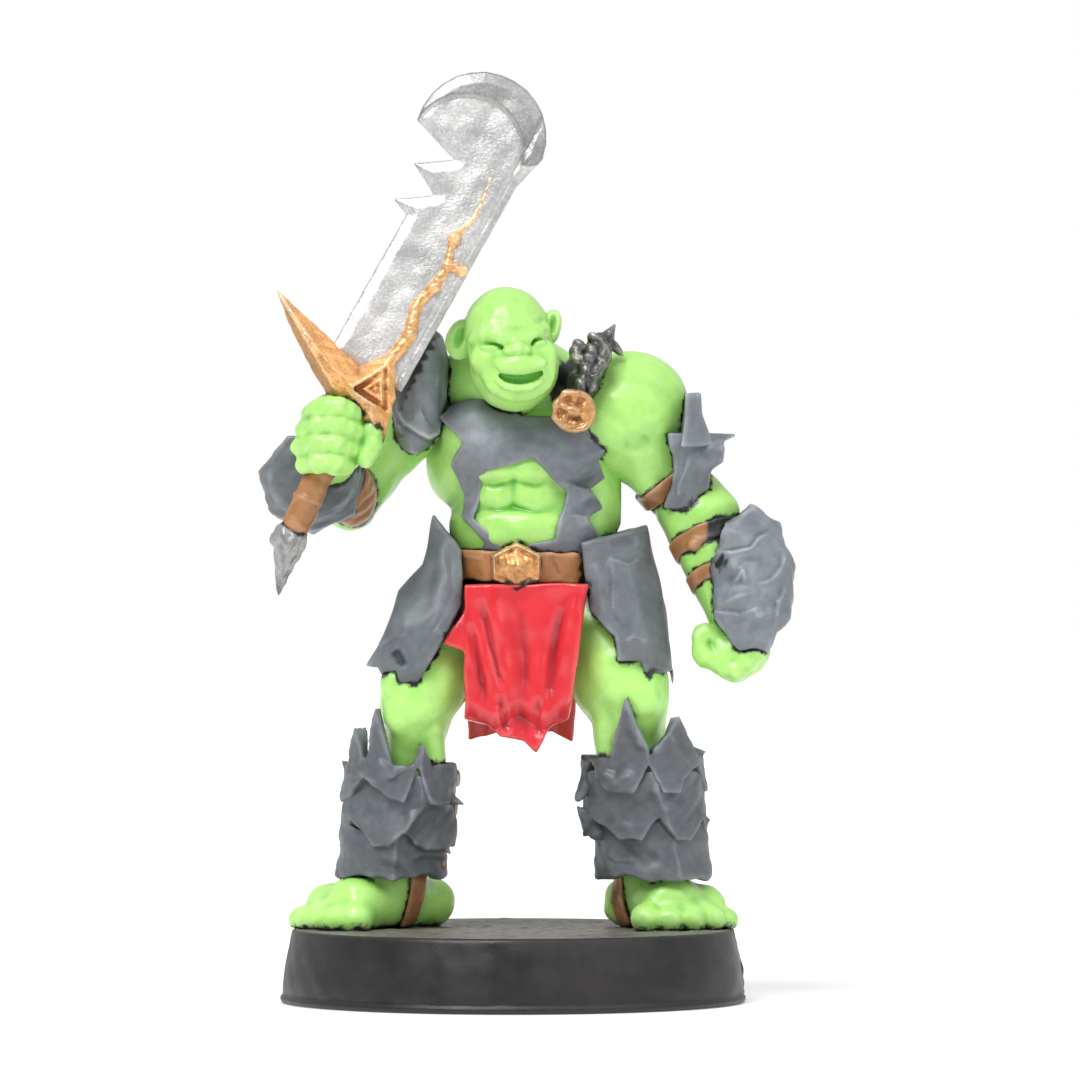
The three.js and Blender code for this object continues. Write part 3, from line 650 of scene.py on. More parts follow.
face = blend(
    0.32, skull,
    ball(on_face(-1.5, 34.3, -0.45), (0.75, 0.7, 0.8)),
    ball(on_face(1.75, 34.55, -0.4), (0.6, 0.65, 0.75)),
    face_line([0.26, 0.4, 0.42, 0.34, 0.42, 0.4, 0.26], (-2.05, 35.4), (-1.45, 35.68), (-0.55, 35.45),
              (0.14, 35.25), (0.75, 35.42),
              (1.3, 35.75), (1.72, 36.0), lift=-0.12),
)
face = carve(0.2, face, blend(0.1, ball(on_face(-1.13, 35.0, 0.12), (0.66, 0.3, 0.22), 4),
                              ball(on_face(1.3, 35.24, 0.12), (0.52, 0.3, 0.2), -14)))
face = blend(0.12, face, ball(on_face(-1.15, 34.88, -0.07), (0.56, 0.24, 0.19), 4),
             ball(on_face(1.34, 35.1, -0.07), (0.46, 0.24, 0.18), -14))
face = blend(
    0.16, face,
    bone(on_face(0.14, 35.35, -0.05), on_face(0.22, 34.95, 0.12), 0.26, 0.36),
    ball(on_face(0.22, 34.86, 0.14), (0.42, 0.42, 0.33), -8),
    ball(on_face(-0.2, 34.73, 0.06), (0.28, 0.32, 0.24)),
    ball(on_face(0.68, 34.8, 0.06), (0.28, 0.32, 0.24)),
)
face = blend(
    0.3, face,
    ball(on_face(-0.15, 33.9, -0.17), (0.85, 0.45, 0.42), 17),
    ball(on_face(0.92, 33.97, -0.17), (0.88, 0.45, 0.42), -14),
    ball(on_face(0.36, 34.12, -0.12), (0.55, 0.42, 0.4)),
    face_line([0.14, 0.22, 0.24, 0.22, 0.2, 0.22, 0.24, 0.22, 0.14], (-1.3, 34.35), (-1.42, 33.7),
              (-1.15, 33.0), (-0.5, 32.5), (0.32, 32.32),
              (1.15, 32.5), (1.8, 33.0), (2.05, 33.7), (1.95, 34.3), lift=-0.13),
)
MOUTH = [(-0.95, 33.78), (-0.6, 33.44), (-0.1, 33.26), (0.45, 33.22), (1.0, 33.32), (1.45, 33.54),
         (1.78, 33.9)]
for lift in (0.12, -0.2):
    face = carve(0.08, face, face_line([0.06, 0.17, 0.24, 0.26, 0.23, 0.16, 0.06], *MOUTH, lift=lift, k=0.06))
face = blend(0.1, face, face_line([0.1, 0.16, 0.18, 0.16, 0.1], (-0.8, 33.1), (-0.3, 32.86), (0.32, 32.78),
                                  (0.98, 32.86), (1.55, 33.15), lift=0.03))
face = blend(0.2, face, face_line([0.1, 0.16, 0.1], (-1.5, 36.35), (-0.7, 36.05), (-0.1, 36.1), lift=-0.08),
             face_line([0.1, 0.15, 0.1], (0.4, 36.1), (0.95, 36.25), (1.35, 36.6), lift=-0.08))
right_ear = carve(0.1, ball((-2.75, -3.65, 35.4), (0.8, 0.45, 1.1), 14),
                  ball((-2.85, -4.15, 35.5), (0.3, 0.42, 0.66), 14))
left_ear = carve(0.1, ball((2.1, -3.5, 36.1), (0.5, 0.4, 0.95), 8),
                 ball((2.12, -3.95, 36.2), (0.2, 0.42, 0.55), 8))
head = blend(0.15, face, right_ear, left_ear)
head = blend(0.5, head, bone((-0.1, -2.6, 33.2), (0.1, -0.6, 32.2), 1.6, 1.8))
piece("head", "skin_green", uneven(head, 0.9, 0.02, 43), step=FINE_STEP)

# ---------------------------------------------------------------- right shoulder pad, boss and clasp
pad = ball((-4.9, -0.9, 32.7), (1.45, 3.1, 3.4), 8)
pad = relief(pad, [([(-5.0, 34.0), (-5.3, 32.4), (-5.1, 31.0)], 0.45, 0.12)],
             [([(-6.2, 31.7), (-5.75, 30.85), (-5.0, 30.35), (-4.4, 30.1), (-3.85, 30.4), (-3.7, 31.4)], 1.2,
               0.34),
              ([(-3.95, 31.2), (-3.95, 33.0), (-3.8, 34.8)], 0.8, 0.12)])


def pad_bare(x, y, z):
    """Primer shows along the pad's outer front edge."""
    outer = x + 6.0 - np.clip((z - 31.6) * 0.5, 0, 2)
    return np.maximum(outer + 0.16 * waves(x, y, z, 0.5, 8), y - 0.9)


piece("right_shoulder_pad", "armour_grey", uneven(pad, 1.4, 0.05, 7),
      tone=1.5, bare=pad_bare)

BOSS = (3.25, -4.85, 31.55)
disc = within(0.1, lambda x, y, z: np.hypot(x - BOSS[0], z - BOSS[2]) - 1.17,
              between(BOSS[1] - 0.3, BOSS[1] + 0.6))
rim = lambda x, y, z: np.hypot(np.hypot(x - BOSS[0], z - BOSS[2]) - 1.0, y - BOSS[1] + 0.28) - 0.17
studs = [ball((BOSS[0] + 0.62 * math.cos(a), BOSS[1] - 0.3, BOSS[2] + 0.62 * math.sin(a)), (0.22, 0.18, 0.22))
         for a in (math.radians(60 * n + 30) for n in range(6))]
medallion = blend(0.08, disc, rim, ball((BOSS[0], BOSS[1] - 0.3, BOSS[2]), (0.4, 0.28, 0.4)), *studs)
piece("medallion", "copper_paint", uneven(medallion, 0.6, 0.05, 9), step=FINE_STEP, tone=0.66)

clasp = blend(
    0.1,
    chain([(3.55, -4.75, 32.6), (3.95, -4.3, 33.8), (4.25, -3.7, 34.9)], [0.3, 0.34, 0.4]),
    chain([(3.5, -3.5, 35.0), (3.4, -3.9, 34.5), (3.75, -4.1, 34.2)], [0.42, 0.36, 0.3]),
    chain([(4.3, -3.4, 35.45), (4.85, -3.5, 34.9), (4.75, -3.9, 34.2), (4.3, -4.4, 33.4), (4.1, -4.6, 32.7)],
          [0.34, 0.36, 0.32, 0.26, 0.2]),
    chain([(4.5, -3.0, 35.2), (5.05, -2.6, 35.6), (5.42, -2.3, 36.2)], [0.5, 0.32, 0.05]),
    chain([(4.9, -2.8, 35.2), (5.4, -2.4, 35.0), (5.9, -2.2, 34.6)], [0.36, 0.26, 0.06]),
    ball((2.95, -4.4, 32.95), 0.24), ball((4.05, -4.2, 34.4), 0.36),
)
clasp = blend(0.2, clasp, bone((3.7, -3.4, 33.0), (4.5, -2.6, 34.6), 0.85, 0.75))
piece("shoulder_clasp", "gunmetal_paint", uneven(clasp, 0.55, 0.05, 10), step=FINE_STEP)

# ---------------------------------------------------------------- left arm
deltoid = blend(
    0.9,
    ball((6.2, -0.3, 31.5), (3.3, 3.1, 3.4), 24),
    bone((7.2, 0.1, 29.8), (8.7, 0.5, 27.6), 2.2, 1.85),
    ball((5.0, -1.5, 31.2), (2.2, 2.0, 2.2)),
)
deltoid = blend(0.6, deltoid, bone((6.7, -1.6, 29.2), (7.2, -1.3, 27.8), 0.9, 0.7),
                ball((6.6, -2.3, 31.6), (1.7, 1.1, 1.6), 20))
deltoid = relief(deltoid, [([(5.7, 29.9), (6.6, 29.7), (7.4, 30.4)], 0.4, -0.1),
                           ([(6.9, 32.8), (7.4, 31.6), (7.9, 30.9)], 0.5, 0.1)])
piece("left_upper_arm", "skin_green", uneven(deltoid, 1.7, 0.06, 13))

LEFT_ELBOW, LEFT_WRIST = (9.5, 0.2, 26.7), (12.2, -2.7, 20.3)
left_forearm = blend(0.6, bone(LEFT_ELBOW, LEFT_WRIST, 1.95, 1.5), ball((10.4, -0.7, 26.2), (1.7, 1.6, 1.5)))
piece("left_forearm", "skin_green", uneven(left_forearm, 1.4, 0.05, 14))
piece("left_elbow_strap", "leather_brown", strap(deltoid, (7.6, 0.2, 27.2), (0.62, 0.1, -0.78), 1.0, 0.2, 15))
upper_band = blend(0.15, strap(left_forearm, (9.9, -0.8, 24.45), (0.35, -0.3, -0.9), 1.0, 0.15, 16),
                   ball((9.75, -2.45, 24.5), (0.45, 0.35, 0.38)))
# The +X side of each wrist strap is painted black as painted shade.
piece("left_wrist_strap_upper", "leather_brown", upper_band,
      bare=lambda x, y, z: 10.35 - x + 0.15 * waves(x, y, z, 0.5, 3))
piece("left_wrist_strap_lower", "leather_brown", strap(left_forearm, (10.6, -1.6, 22.7), (0.35, -0.3, -0.9),
    0.85, 0.14, 17),
      bare=lambda x, y, z: 11.1 - x + 0.15 * waves(x, y, z, 0.5, 4))

fist = ball((12.0, -2.9, 18.7), (1.7, 1.75, 1.35))
fist = blend(0.35, fist, *[chain([(12.9 - 0.2 * n, -4.2 + 0.8 * n, 18.7), (11.9, -4.35 + 0.85 * n, 17.75),
                                  (10.95, -4.0 + 0.8 * n, 18.1)],
                                 [0.5, 0.52, 0.46], 0.1) for n in range(4)])
fist = blend(0.25, fist, chain([(10.9, -3.6, 19.5), (10.2, -3.7, 19.75), (10.0, -3.9, 19.1),
                                (10.35, -4.0, 18.5), (10.9, -4.1, 18.3)],
                              [0.6, 0.58, 0.5, 0.6, 0.5]))
fist = blend(0.3, fist, bone((12.3, -3.0, 19.8), (12.3, -2.6, 21.0), 1.5, 1.4),
             ball((11.4, -3.6, 18.9), (1.1, 1.0, 0.9)))
piece("left_fist", "skin_green", uneven(fist, 1.0, 0.05, 18), step=FINE_STEP)

arm_bulk = bone((8.1, 0.1, 31.0), (9.5, 0.4, 27.2), 3.3, 2.35)
GUARD_UPPER = panel((9.8, 29.8), (9.6, 32.5), (1.6, 0.7), (0, 1, 0, 0), 0.3)
GUARD_LOWER = panel((8.9, 26.3), (10, 30.8), (1.6, 3.8), (0, 3, 1, 1), 0.5)
upper = within(0.15, grow(arm_bulk, 0.5), outline(GUARD_UPPER, 0.04))
lower = within(0.15, grow(blend(0.4, arm_bulk, ball((10.3, 0.1, 29.4), (1.75, 2.3, 1.9))), 0.22),
               outline(GUARD_LOWER, 0.04))
lower = relief(lower, [([(10.1, 29.9), (10.9, 29.6), (11.6, 29.7)], 0.25, 0.12)],
               [([(9.4, 29.6), (9.1, 28.4), (8.75, 27.6), (8.7, 26.7)], 0.9, 0.2),
                ([(11.5, 30.2), (10.6, 30.0), (10.1, 29.4)], 0.8, 0.14)])
piece("left_arm_guard_upper", "armour_grey", uneven(upper, 1.3, 0.06, 19), tone=1.2)
piece("left_arm_guard_lower", "armour_grey", uneven(lower, 1.3, 0.06, 21), tone=1.2)

BRACER = oval_of("left_bracer", 9, 0.1)
bracer_bulk = blend(0.8, bone((12.3, -0.8, 25.6), (12.6, -2.4, 20.6), 2.35, 2.6),
                    ball((13.4, -1.2, 23.0), (2.0, 2.6, 2.6)))
bracer = relief(
    within(0.2, grow(bracer_bulk, 0.35), outline(BRACER, 0.03)),
    [([(11.6, 22.3), (12.2, 23.1), (12.4, 22.4)], 0.16, 0.2),
     ([(10.6, 21.2), (11.6, 21.6), (12.8, 22.0)], 0.26, 0.14),
     ([(12.0, 19.9), (13.0, 20.7), (14.0, 21.0)], 0.26, 0.14),
     ([(12.6, 26.7), (13.3, 26.2), (13.8, 25.2)], 0.3, 0.1)],
    [([(14.0, 25.4), (13.0, 24.9), (12.6, 24.4), (11.7, 24.2), (10.7, 24.2)], 1.4, 0.26),
     ([(14.4, 24.3), (14.3, 23.4), (13.7, 22.7), (12.9, 22.4)], 1.2, 0.22),
     ([(13.2, 21.4), (12.0, 20.8), (10.4, 21.1)], 1.0, 0.2),
     ([(14.6, 22.4), (14.0, 21.4), (13.9, 20.4)], 0.9, 0.18),
     ([(13.1, 23.6), (12.3, 23.6), (11.4, 23.0)], 0.8, 0.14)], front=-0.2)
piece("left_bracer", "armour_grey", uneven(bracer, 1.2, 0.07, 22), tone=1.4,
      bare=lambda x, y, z: np.minimum(np.hypot(x - 11.3, z - 26.6) - 0.75,
                                      np.hypot(x - 11.0, z - 23.5) - 0.3) + 0.25 * waves(x, y, z, 0.5, 23))

# ---------------------------------------------------------------- sword
BLADE_TILT = math.radians(29)
BLADE_FOOT = (-7.8, 33.6)
BLADE_HALF_WIDTH = 2.2
TIP_RADIUS = 3.5
TIP_CENTRE = (-1.7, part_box("sword_blade")[1][2] / MM - TIP_RADIUS)
BLADE_LEAN, BLADE_ROOT, BLADE_FRONT = 0.2, 34.0, -6.4


def blade_point(across, along):
    """The (x, z) of a point given across and along the blade from the middle of its foot."""
    c, s = math.cos(BLADE_TILT), math.sin(BLADE_TILT)
    return BLADE_FOOT[0] + across * c + along * s, BLADE_FOOT[1] - across * s + along * c


def blade_across(x, z):
    return (x - BLADE_FOOT[0]) * math.cos(BLADE_TILT) - (z - BLADE_FOOT[1]) * math.sin(BLADE_TILT)


# A cleaver: straight sides, two hooks in the back edge and a round tip that overhangs both sides
cutting_edge = [blade_point(BLADE_HALF_WIDTH, along) for along in (0, 12.5)]
hooks = [blade_point(*spot) for along in (12.2, 10) for spot in ((-1.4, along),
    (-BLADE_HALF_WIDTH - 1, along - 1.2))]
back_edge = [blade_point(-BLADE_HALF_WIDTH, along) for along in (8.4, 0)]
blade_edge = outline(cutting_edge + arc(TIP_CENTRE, TIP_RADIUS, -20, 165, 14) + hooks + back_edge)


def cap_edge(x, y, z):
    """Negative in the crescent of the cap, outside a circle set down and back from the tip's."""
    inner = TIP_RADIUS - 0.5 - np.hypot(x - TIP_CENTRE[0] + 0.8, z - TIP_CENTRE[1] + 0.8)
    return np.maximum(inner, TIP_CENTRE[1] - 1.6 - z)


def blade_middle(z):
    return BLADE_FRONT + 0.4 + BLADE_LEAN * (z - BLADE_ROOT)


def blade(x, y, z):
    rim_distance = blade_edge(x, y, z)
    half = 0.16 + 0.2 * np.clip(-rim_distance / 0.55, 0, 1)
    half = half + 0.2 * np.clip(-cap_edge(x, y, z) / 0.12, 0, 1)
    across = blade_across(x, z)
    half = half - 0.1 * np.exp(-((across - 1.7) / 0.16) ** 2) - 0.04 * np.exp(-((across + 0.8) / 0.6) ** 2)
    return np.maximum(rim_distance, np.abs(y - blade_middle(z)) - half)


def blade_tone(x, y, z):
    """Duller cap and a soft dull streak along the blade."""
    streak = np.exp(-((blade_across(x, z) + 0.8) / 0.5) ** 2) * (0.7 + 0.3 * np.sin(0.9 * z))
    return 1.05 - 0.45 * np.clip(-cap_edge(x, y, z) / 0.1, 0, 1) - 0.06 * streak


piece("sword_blade", "silver_paint", uneven(blade, 0.9, 0.013, 24), step=0.075, tone=blade_tone)

VEIN_STEPS = 9
VEIN = [blade_point(0.9 + 0.25 * math.sin(2.2 * n), 1.5 + 1.4 * n) for n in range(VEIN_STEPS)]


def on_blade(x, z, lift=0.3):
    return (x, blade_middle(z) - lift, z)


inlay = chain([on_blade(*spot) for spot in VEIN],
              [0.36 * (1 - n / VEIN_STEPS) + 0.04 for n in range(VEIN_STEPS)], 0.08)
inlay = blend(0.12, inlay, *[ball(on_blade(*VEIN[n], 0.4), 0.38) for n in (1, 3, 5)],
              bone(on_blade(*VEIN[4]), on_blade(*blade_point(1.9, 7.2)), 0.3, 0.3))
piece("blade_inlay", "copper_paint", uneven(inlay, 0.5, 0.03, 25), step=FINE_STEP)

LONG_HORN, HOLLOW, SHORT_HORN, *CHEEK = within_box(
    "sword_guard", (0, 1), (0.4, 0.15), (0.9, 0), (1, 0.3), (1, 0.6), (0.7, 0.5))
GUARD = curve(LONG_HORN, HOLLOW, SHORT_HORN) + CHEEK
PANEL = oval((-7.2, 32.7), 1.1, 1.3, 3)
guard_edge, panel_edge = outline(GUARD), outline(PANEL)
RIDGE_START, RIDGE_SLOPE = (-12.5, 38.1), 1.73


def below_ridge(x, z):
    """How far a point lies below the ridge that runs down the long horn; negative above it."""
    return (-RIDGE_SLOPE * (x - RIDGE_START[0]) + RIDGE_START[1] - z) / 2.0


def guard(x, y, z):
    rim_distance = guard_edge(x, y, z)
    middle = -6.45 + 0.08 * (z - 34.0)
    half = 0.4 + 0.85 * np.clip(-rim_distance, 0, 1.0)
    panel = panel_edge(x, y, z)
    half = np.where(panel < 0.1, np.minimum(half, 0.95) - 0.22 * np.clip((0.1 - panel) / 0.12, 0, 1), half)
    half = half + 0.2 * np.exp(-((panel + 0.3) / 0.1) ** 2) + 0.2 * np.clip((-panel - 0.48) / 0.1, 0, 1)
    horn_ridge = np.abs(below_ridge(x, z))
    half = half + 0.3 * np.clip(1 - horn_ridge / 0.5, 0, 1) * np.clip((-8.9 - x) / 0.6, 0, 1)
    return 0.85 * np.maximum(rim_distance, np.abs(y - middle) - half)


def guard_facet_shade(x, y, z):
    """Painted shade on the lower facet of the long horn, which turns a darker copper."""
    under_horn = below_ridge(x, z)
    return 1.05 - 0.5 * np.clip(under_horn / 0.12, 0, 1) * np.clip((-8.9 - x) / 0.4, 0, 1)


piece("sword_guard", "copper_paint", uneven(guard, 0.7, 0.03, 26), step=0.075, tone=guard_facet_shade)

GRIP_TOP, GRIP_END = (-8.5, -6.6, 32.0), (-11.4, -6.6, 25.6)
grip_axis = tuple(t - e for t, e in zip(GRIP_TOP, GRIP_END))
grip_length = math.sqrt(sum(c * c for c in grip_axis))


def wrapped_grip(x, y, z):
    along = sum((p - e) * a for p, e, a in zip((x, y, z), GRIP_END, grip_axis)) / grip_length
    around = np.arctan2(y - GRIP_END[1], x - GRIP_END[0] - along * grip_axis[0] / grip_length)
    wraps = 0.05 * np.abs(np.sin(math.pi * along / 1.2 + around / 2))
    turns = wraps + 0.1 * np.exp(-((along - 1.4) / 0.16) ** 2)
    return bone(GRIP_END, GRIP_TOP, 0.72, 0.74)(x, y, z) - turns


piece("sword_grip", "leather_brown", uneven(wrapped_grip, 1.0, 0.05, 27))
POMMEL = arc((-11.8, 24.8), 0.95, -30, 210) + [(-12.4, 21.8)]
pommel_edge = outline(POMMEL)
pommel = lambda x, y, z: 0.85 * np.maximum(
    pommel_edge(x, y, z), np.abs(y + 6.6) - (0.3 + 0.8 * np.clip(-pommel_edge(x, y, z), 0, 0.6)))
piece("sword_pommel", "silver_paint", uneven(pommel, 0.6, 0.06, 28), step=FINE_STEP, tone=0.62)

# ---------------------------------------------------------------- right arm
RIGHT_WRIST = (-9.7, -4.8, 29.2)
upper_arm = chain([(-4.4, 0.7, 31.6), (-6.4, 0.9, 29.7), (-8.8, 1.4, 27.1)], [1.9, 1.35, 1.75], 0.4)
piece("right_upper_arm", "skin_green", uneven(upper_arm, 1.4, 0.08, 31))
forearm = bone((-8.8, 1.2, 26.9), RIGHT_WRIST, 1.65, 1.35)
piece("right_forearm", "skin_green", uneven(forearm, 1.3, 0.05, 32))
ELBOW_PATCH = oval((-8.6, 27.2), 1.3, 1.7)
elbow = grow(blend(0.3, forearm, upper_arm), 0.3)
arm_band = within(0.12, within(0.1, elbow, outline(ELBOW_PATCH, 0.02)), between(-3.6, 1.6))
piece("right_arm_band", "leather_brown", uneven(arm_band, 0.9, 0.05, 33), reach=1.4)

hand = blend(0.5, ball((-9.35, -6.7, 30.3), (1.95, 1.3, 2.15), 20),
             bone((-9.7, -5.6, 29.7), (-9.7, -4.4, 29.2), 1.5, 1.4),
             ball((-9.5, -7.0, 30.1), (1.6, 1.15, 1.8), 16), ball((-9.0, -6.6, 31.6), (1.3, 1.1, 0.7), 24))
FINGERS = [[(-10.6, 31.4), (-10.0, 31.7), (-9.2, 31.75), (-8.3, 31.45)],
           [(-11.0, 30.5), (-10.2, 30.75), (-9.2, 30.75), (-8.3, 30.5)],
           [(-11.2, 29.6), (-10.35, 29.8), (-9.3, 29.75), (-8.5, 29.5)],
           [(-10.95, 28.7), (-10.2, 28.8), (-9.4, 28.75), (-8.8, 28.6)]]
for finger in FINGERS:
    joints = [(x, y, z) for (x, z), y in zip(finger, (-7.1, -7.95, -8.15, -7.6))]
    hand = blend(0.26, hand, chain(joints, [0.5, 0.52, 0.52, 0.46], 0.1),
                 *[ball((p[0], p[1] - 0.05, p[2]), (0.5, 0.46, 0.47)) for p in joints[1:3]])
hand = blend(0.15, hand, chain([(-7.8, -6.6, 31.3), (-7.45, -7.1, 30.6), (-7.4, -7.4, 29.8),
                                (-7.75, -7.5, 29.0)], [0.5, 0.54, 0.52, 0.46], 0.15))
piece("right_hand", "skin_green", uneven(hand, 0.9, 0.04, 34), step=FINE_STEP)

RIGHT_BRACER = oval_of("right_bracer", 7, 0.12)
right_bulk = blend(0.5, bone((-10.4, -1.4, 27.8), (-10.6, -3.4, 28.3), 3.0, 2.6),
                   ball((-11.9, -2.4, 28.2), (2.4, 1.6, 2.2)))
right_bracer = relief(within(0.2, right_bulk, outline(RIGHT_BRACER, 0.03)), [
    ([(-13.0, 28.5), (-11.6, 28.6), (-10.6, 29.2)], 0.3, -0.2),
    ([(-12.0, 26.9), (-11.0, 27.4), (-10.4, 28.0)], 0.3, -0.2)], front=4.0)
piece("right_bracer", "armour_grey", uneven(within(0.15, right_bracer, between(-4.6, -0.6)), 1.1, 0.06, 35))

# ---------------------------------------------------------------- belt, cloth and skirt
waist = lambda x, y, z: (np.sqrt(((x - 0.8) / 4.3) ** 2 + ((y - 0.4) / 3.55) ** 2) - 1.0) * 3.7
belt = within(0.15, shell(grow(waist, 0.15), 1.6), lambda x, y, z: np.abs(z - 23.3 + 0.03 * (x - 0.8)) - 0.82)
belt = relief(belt, [([(-2.9, 23.9), (-1.4, 23.7)], 0.15, 0.06), ([(2.0, 24.0), (2.6, 22.7)], 0.2, -0.12)])
piece("belt", "leather_brown", uneven(belt, 1.1, 0.05, 36), tone=1.2,
      bare=lambda x, y, z: np.minimum(3.35 + 0.12 * waves(x, y, z, 0.5, 37) - np.abs(x - 0.2),
                                      9.0) + np.where(y > 0, 9, 0))

BUCKLE = oval_of("belt_buckle", 6)
buckle_edge = outline(BUCKLE, 0.03)


def buckle(x, y, z):
    rim_distance = buckle_edge(x, y, z)
    raised = 0.75 * np.clip(-rim_distance, 0, 0.42) + 0.3 * np.exp(-((rim_distance + 0.12) / 0.09) ** 2)
    dome = 0.35 * np.exp(-(((x - 0.3) / 0.75) ** 2 + ((z - 23.35) / 0.5) ** 2))
    front = -3.75 - raised - dome
    return 0.85 * np.maximum(rim_distance, np.maximum(front - y, y + 2.9))


piece("belt_buckle", "copper_paint", uneven(buckle, 0.5, 0.04, 38), step=FINE_STEP, tone=0.8)

CLOTH = ragged(within_box("loincloth", (0.05, 0.2), (0.6, 0), (0.85, 0.2), (1, 1), (0.05, 1)),
               (2, 1, 0, 0, 0), 0.4)
FLARE = within_box("loincloth", (0.05, 0.6), (0.05, 0.85), (-0.12, 0.65))


def cloth_depth(x, z):
    """Depth of the hanging cloth: flat under the belt, then deepening folds and a curled hem."""
    drop = np.clip((22.3 - z) / 8.5, 0, 1)
    lean = x + 0.08 * (z - 18)
    folds = 0.2 * np.cos(1.45 * (lean + 0.9)) + 0.2 * np.cos(2.95 * (lean + 0.75)) * (0.25 + 0.75 * drop)
    curl = np.clip((15.9 + 0.35 * np.cos(2.4 * (x - 0.3)) - z) / 0.9, 0, 1)
    edge = 0.25 * np.exp(-((x + 3.0) / 0.7) ** 2) + 0.3 * np.exp(-((x - 3.6) / 0.6) ** 2)
    return -3.95 - 0.7 * drop - folds + 0.6 * curl ** 1.5 - edge


loincloth = within(0.14, between(lambda x, z: cloth_depth(x, z) - 0.32, lambda x, z: cloth_depth(x, z) + 0.9),
                   blend(0.2, outline(CLOTH, 0.02), outline(FLARE)))
loincloth = relief(
    loincloth,
    [([(-1.7, 21.6), (-1.1, 19.0), (-0.5, 16.6)], 0.26, -0.3),
     ([(-2.3, 20.4), (-1.9, 18.4), (-1.4, 16.2)], 0.24, -0.22),
     ([(0.4, 21.4), (0.75, 18.5), (0.7, 16.8)], 0.3, -0.12),
     ([(2.7, 21.2), (2.2, 18.8), (1.8, 15.6)], 0.34, -0.26),
     ([(-1.0, 21.6), (-0.1, 18.6), (0.2, 15.9)], 0.42, 0.14),
     ([(3.3, 21.8), (2.7, 20.0), (2.5, 17.6)], 0.3, 0.14),
     ([(-0.7, 16.6), (-0.5, 15.4), (-0.3, 14.4)], 0.22, -0.3),
     ([(1.4, 16.4), (1.3, 15.2), (1.5, 14.2)], 0.22, -0.26)],
    front=6.0)
piece("loincloth", "cloth_red", uneven(lambda x, y, z: 0.7 * loincloth(x, y, z), 2.4, 0.04, 39), reach=1.5)
rear_depth = lambda x, z: 3.85 + 0.05 * (22 - z) + 0.3 * np.cos(1.9 * (x - 0.6)) * np.clip((23 - z) / 8, 0.1,
    1)
REAR = panel((0.4, 13.9), (0.6, 22.4), (5.6, 6.6), (2, 0, 0, 0))
rear = within(0.12, between(lambda x, z: rear_depth(x, z) - 0.25, lambda x, z: rear_depth(x, z) + 0.25),
              outline(REAR, 0.02))
piece("rear_cloth", "cloth_red", uneven(lambda x, y, z: 0.8 * rear(x, y, z), 1.5, 0.05, 40), reach=1.3)

RIGHT_TASSET = ragged(within_box("right_tasset", (0, 0.15), (0.5, 0), (1, 0.5), (1, 0.8), (0.7, 1)),
                      (3, 0, 0, 0, 2), 0.6)
LEFT_TASSET_CORNERS = within_box("left_tasset", (0.4, 0.2), (1, 0), (0.9, 0.5), (0.7, 1), (0, 0.9),
                                 (0.1, 0.5))
LEFT_TASSET = ragged(LEFT_TASSET_CORNERS, (2, 0, 0, 0, 0, 1), 0.9)
right_skirt = blend(0.6, bone((-2.6, 0.5, 24.4), (-3.8, -0.2, 19.2), 2.8, 4.0),
                    ball((-5.2, -0.6, 19.6), (2.4, 3.3, 2.6)))
right_tasset = relief(
    within(0.2, shell(grow(right_skirt, 0.35), 2.6), outline(RIGHT_TASSET, 0.03)),
    [([(-3.85, 25.2), (-3.7, 23.0), (-4.1, 21.2), (-5.1, 19.9)], 0.4, 0.12),
     ([(-3.0, 23.9), (-3.0, 22.0), (-3.7, 20.4), (-4.6, 18.8)], 0.35, 0.12),
     ([(-6.3, 18.9), (-6.0, 18.5), (-5.8, 18.0)], 0.3, -0.35)],
    [([(-4.9, 19.2), (-3.9, 20.6), (-3.35, 22.0), (-3.45, 24.0)], 1.2, 0.12),
     ([(-7.1, 18.9), (-6.3, 19.6), (-5.4, 19.6)], 0.8, 0.14)], front=1.5)
left_skirt = blend(0.6, bone((4.4, 0.5, 24.4), (5.1, -0.2, 19.0), 3.0, 3.7),
                   ball((6.2, -0.5, 18.8), (2.3, 3.2, 2.6)))
left_tasset = relief(
    within(0.2, shell(grow(left_skirt, 0.35), 2.6), outline(LEFT_TASSET, 0.03)),
    [([(5.1, 24.4), (5.8, 24.6), (6.7, 24.7)], 0.26, -0.14),
     ([(4.6, 23.6), (4.9, 21.2), (5.5, 19.2)], 0.5, 0.1),
     ([(6.4, 23.4), (6.9, 20.8), (7.6, 18.4)], 0.5, 0.12)],
    [([(5.3, 23.5), (5.3, 22.4), (5.35, 21.0), (5.9, 20.0)], 0.9, 0.14),
     ([(6.9, 23.9), (6.2, 23.5), (5.1, 23.9)], 0.7, 0.16),
     ([(7.3, 19.4), (6.5, 19.7), (5.9, 19.3)], 0.6, 0.12)], front=1.5)
piece("right_tasset", "armour_grey", uneven(right_tasset, 1.4, 0.05, 41), reach=1.2)
piece("left_tasset", "armour_grey", uneven(left_tasset, 1.4, 0.05, 42), reach=1.2)


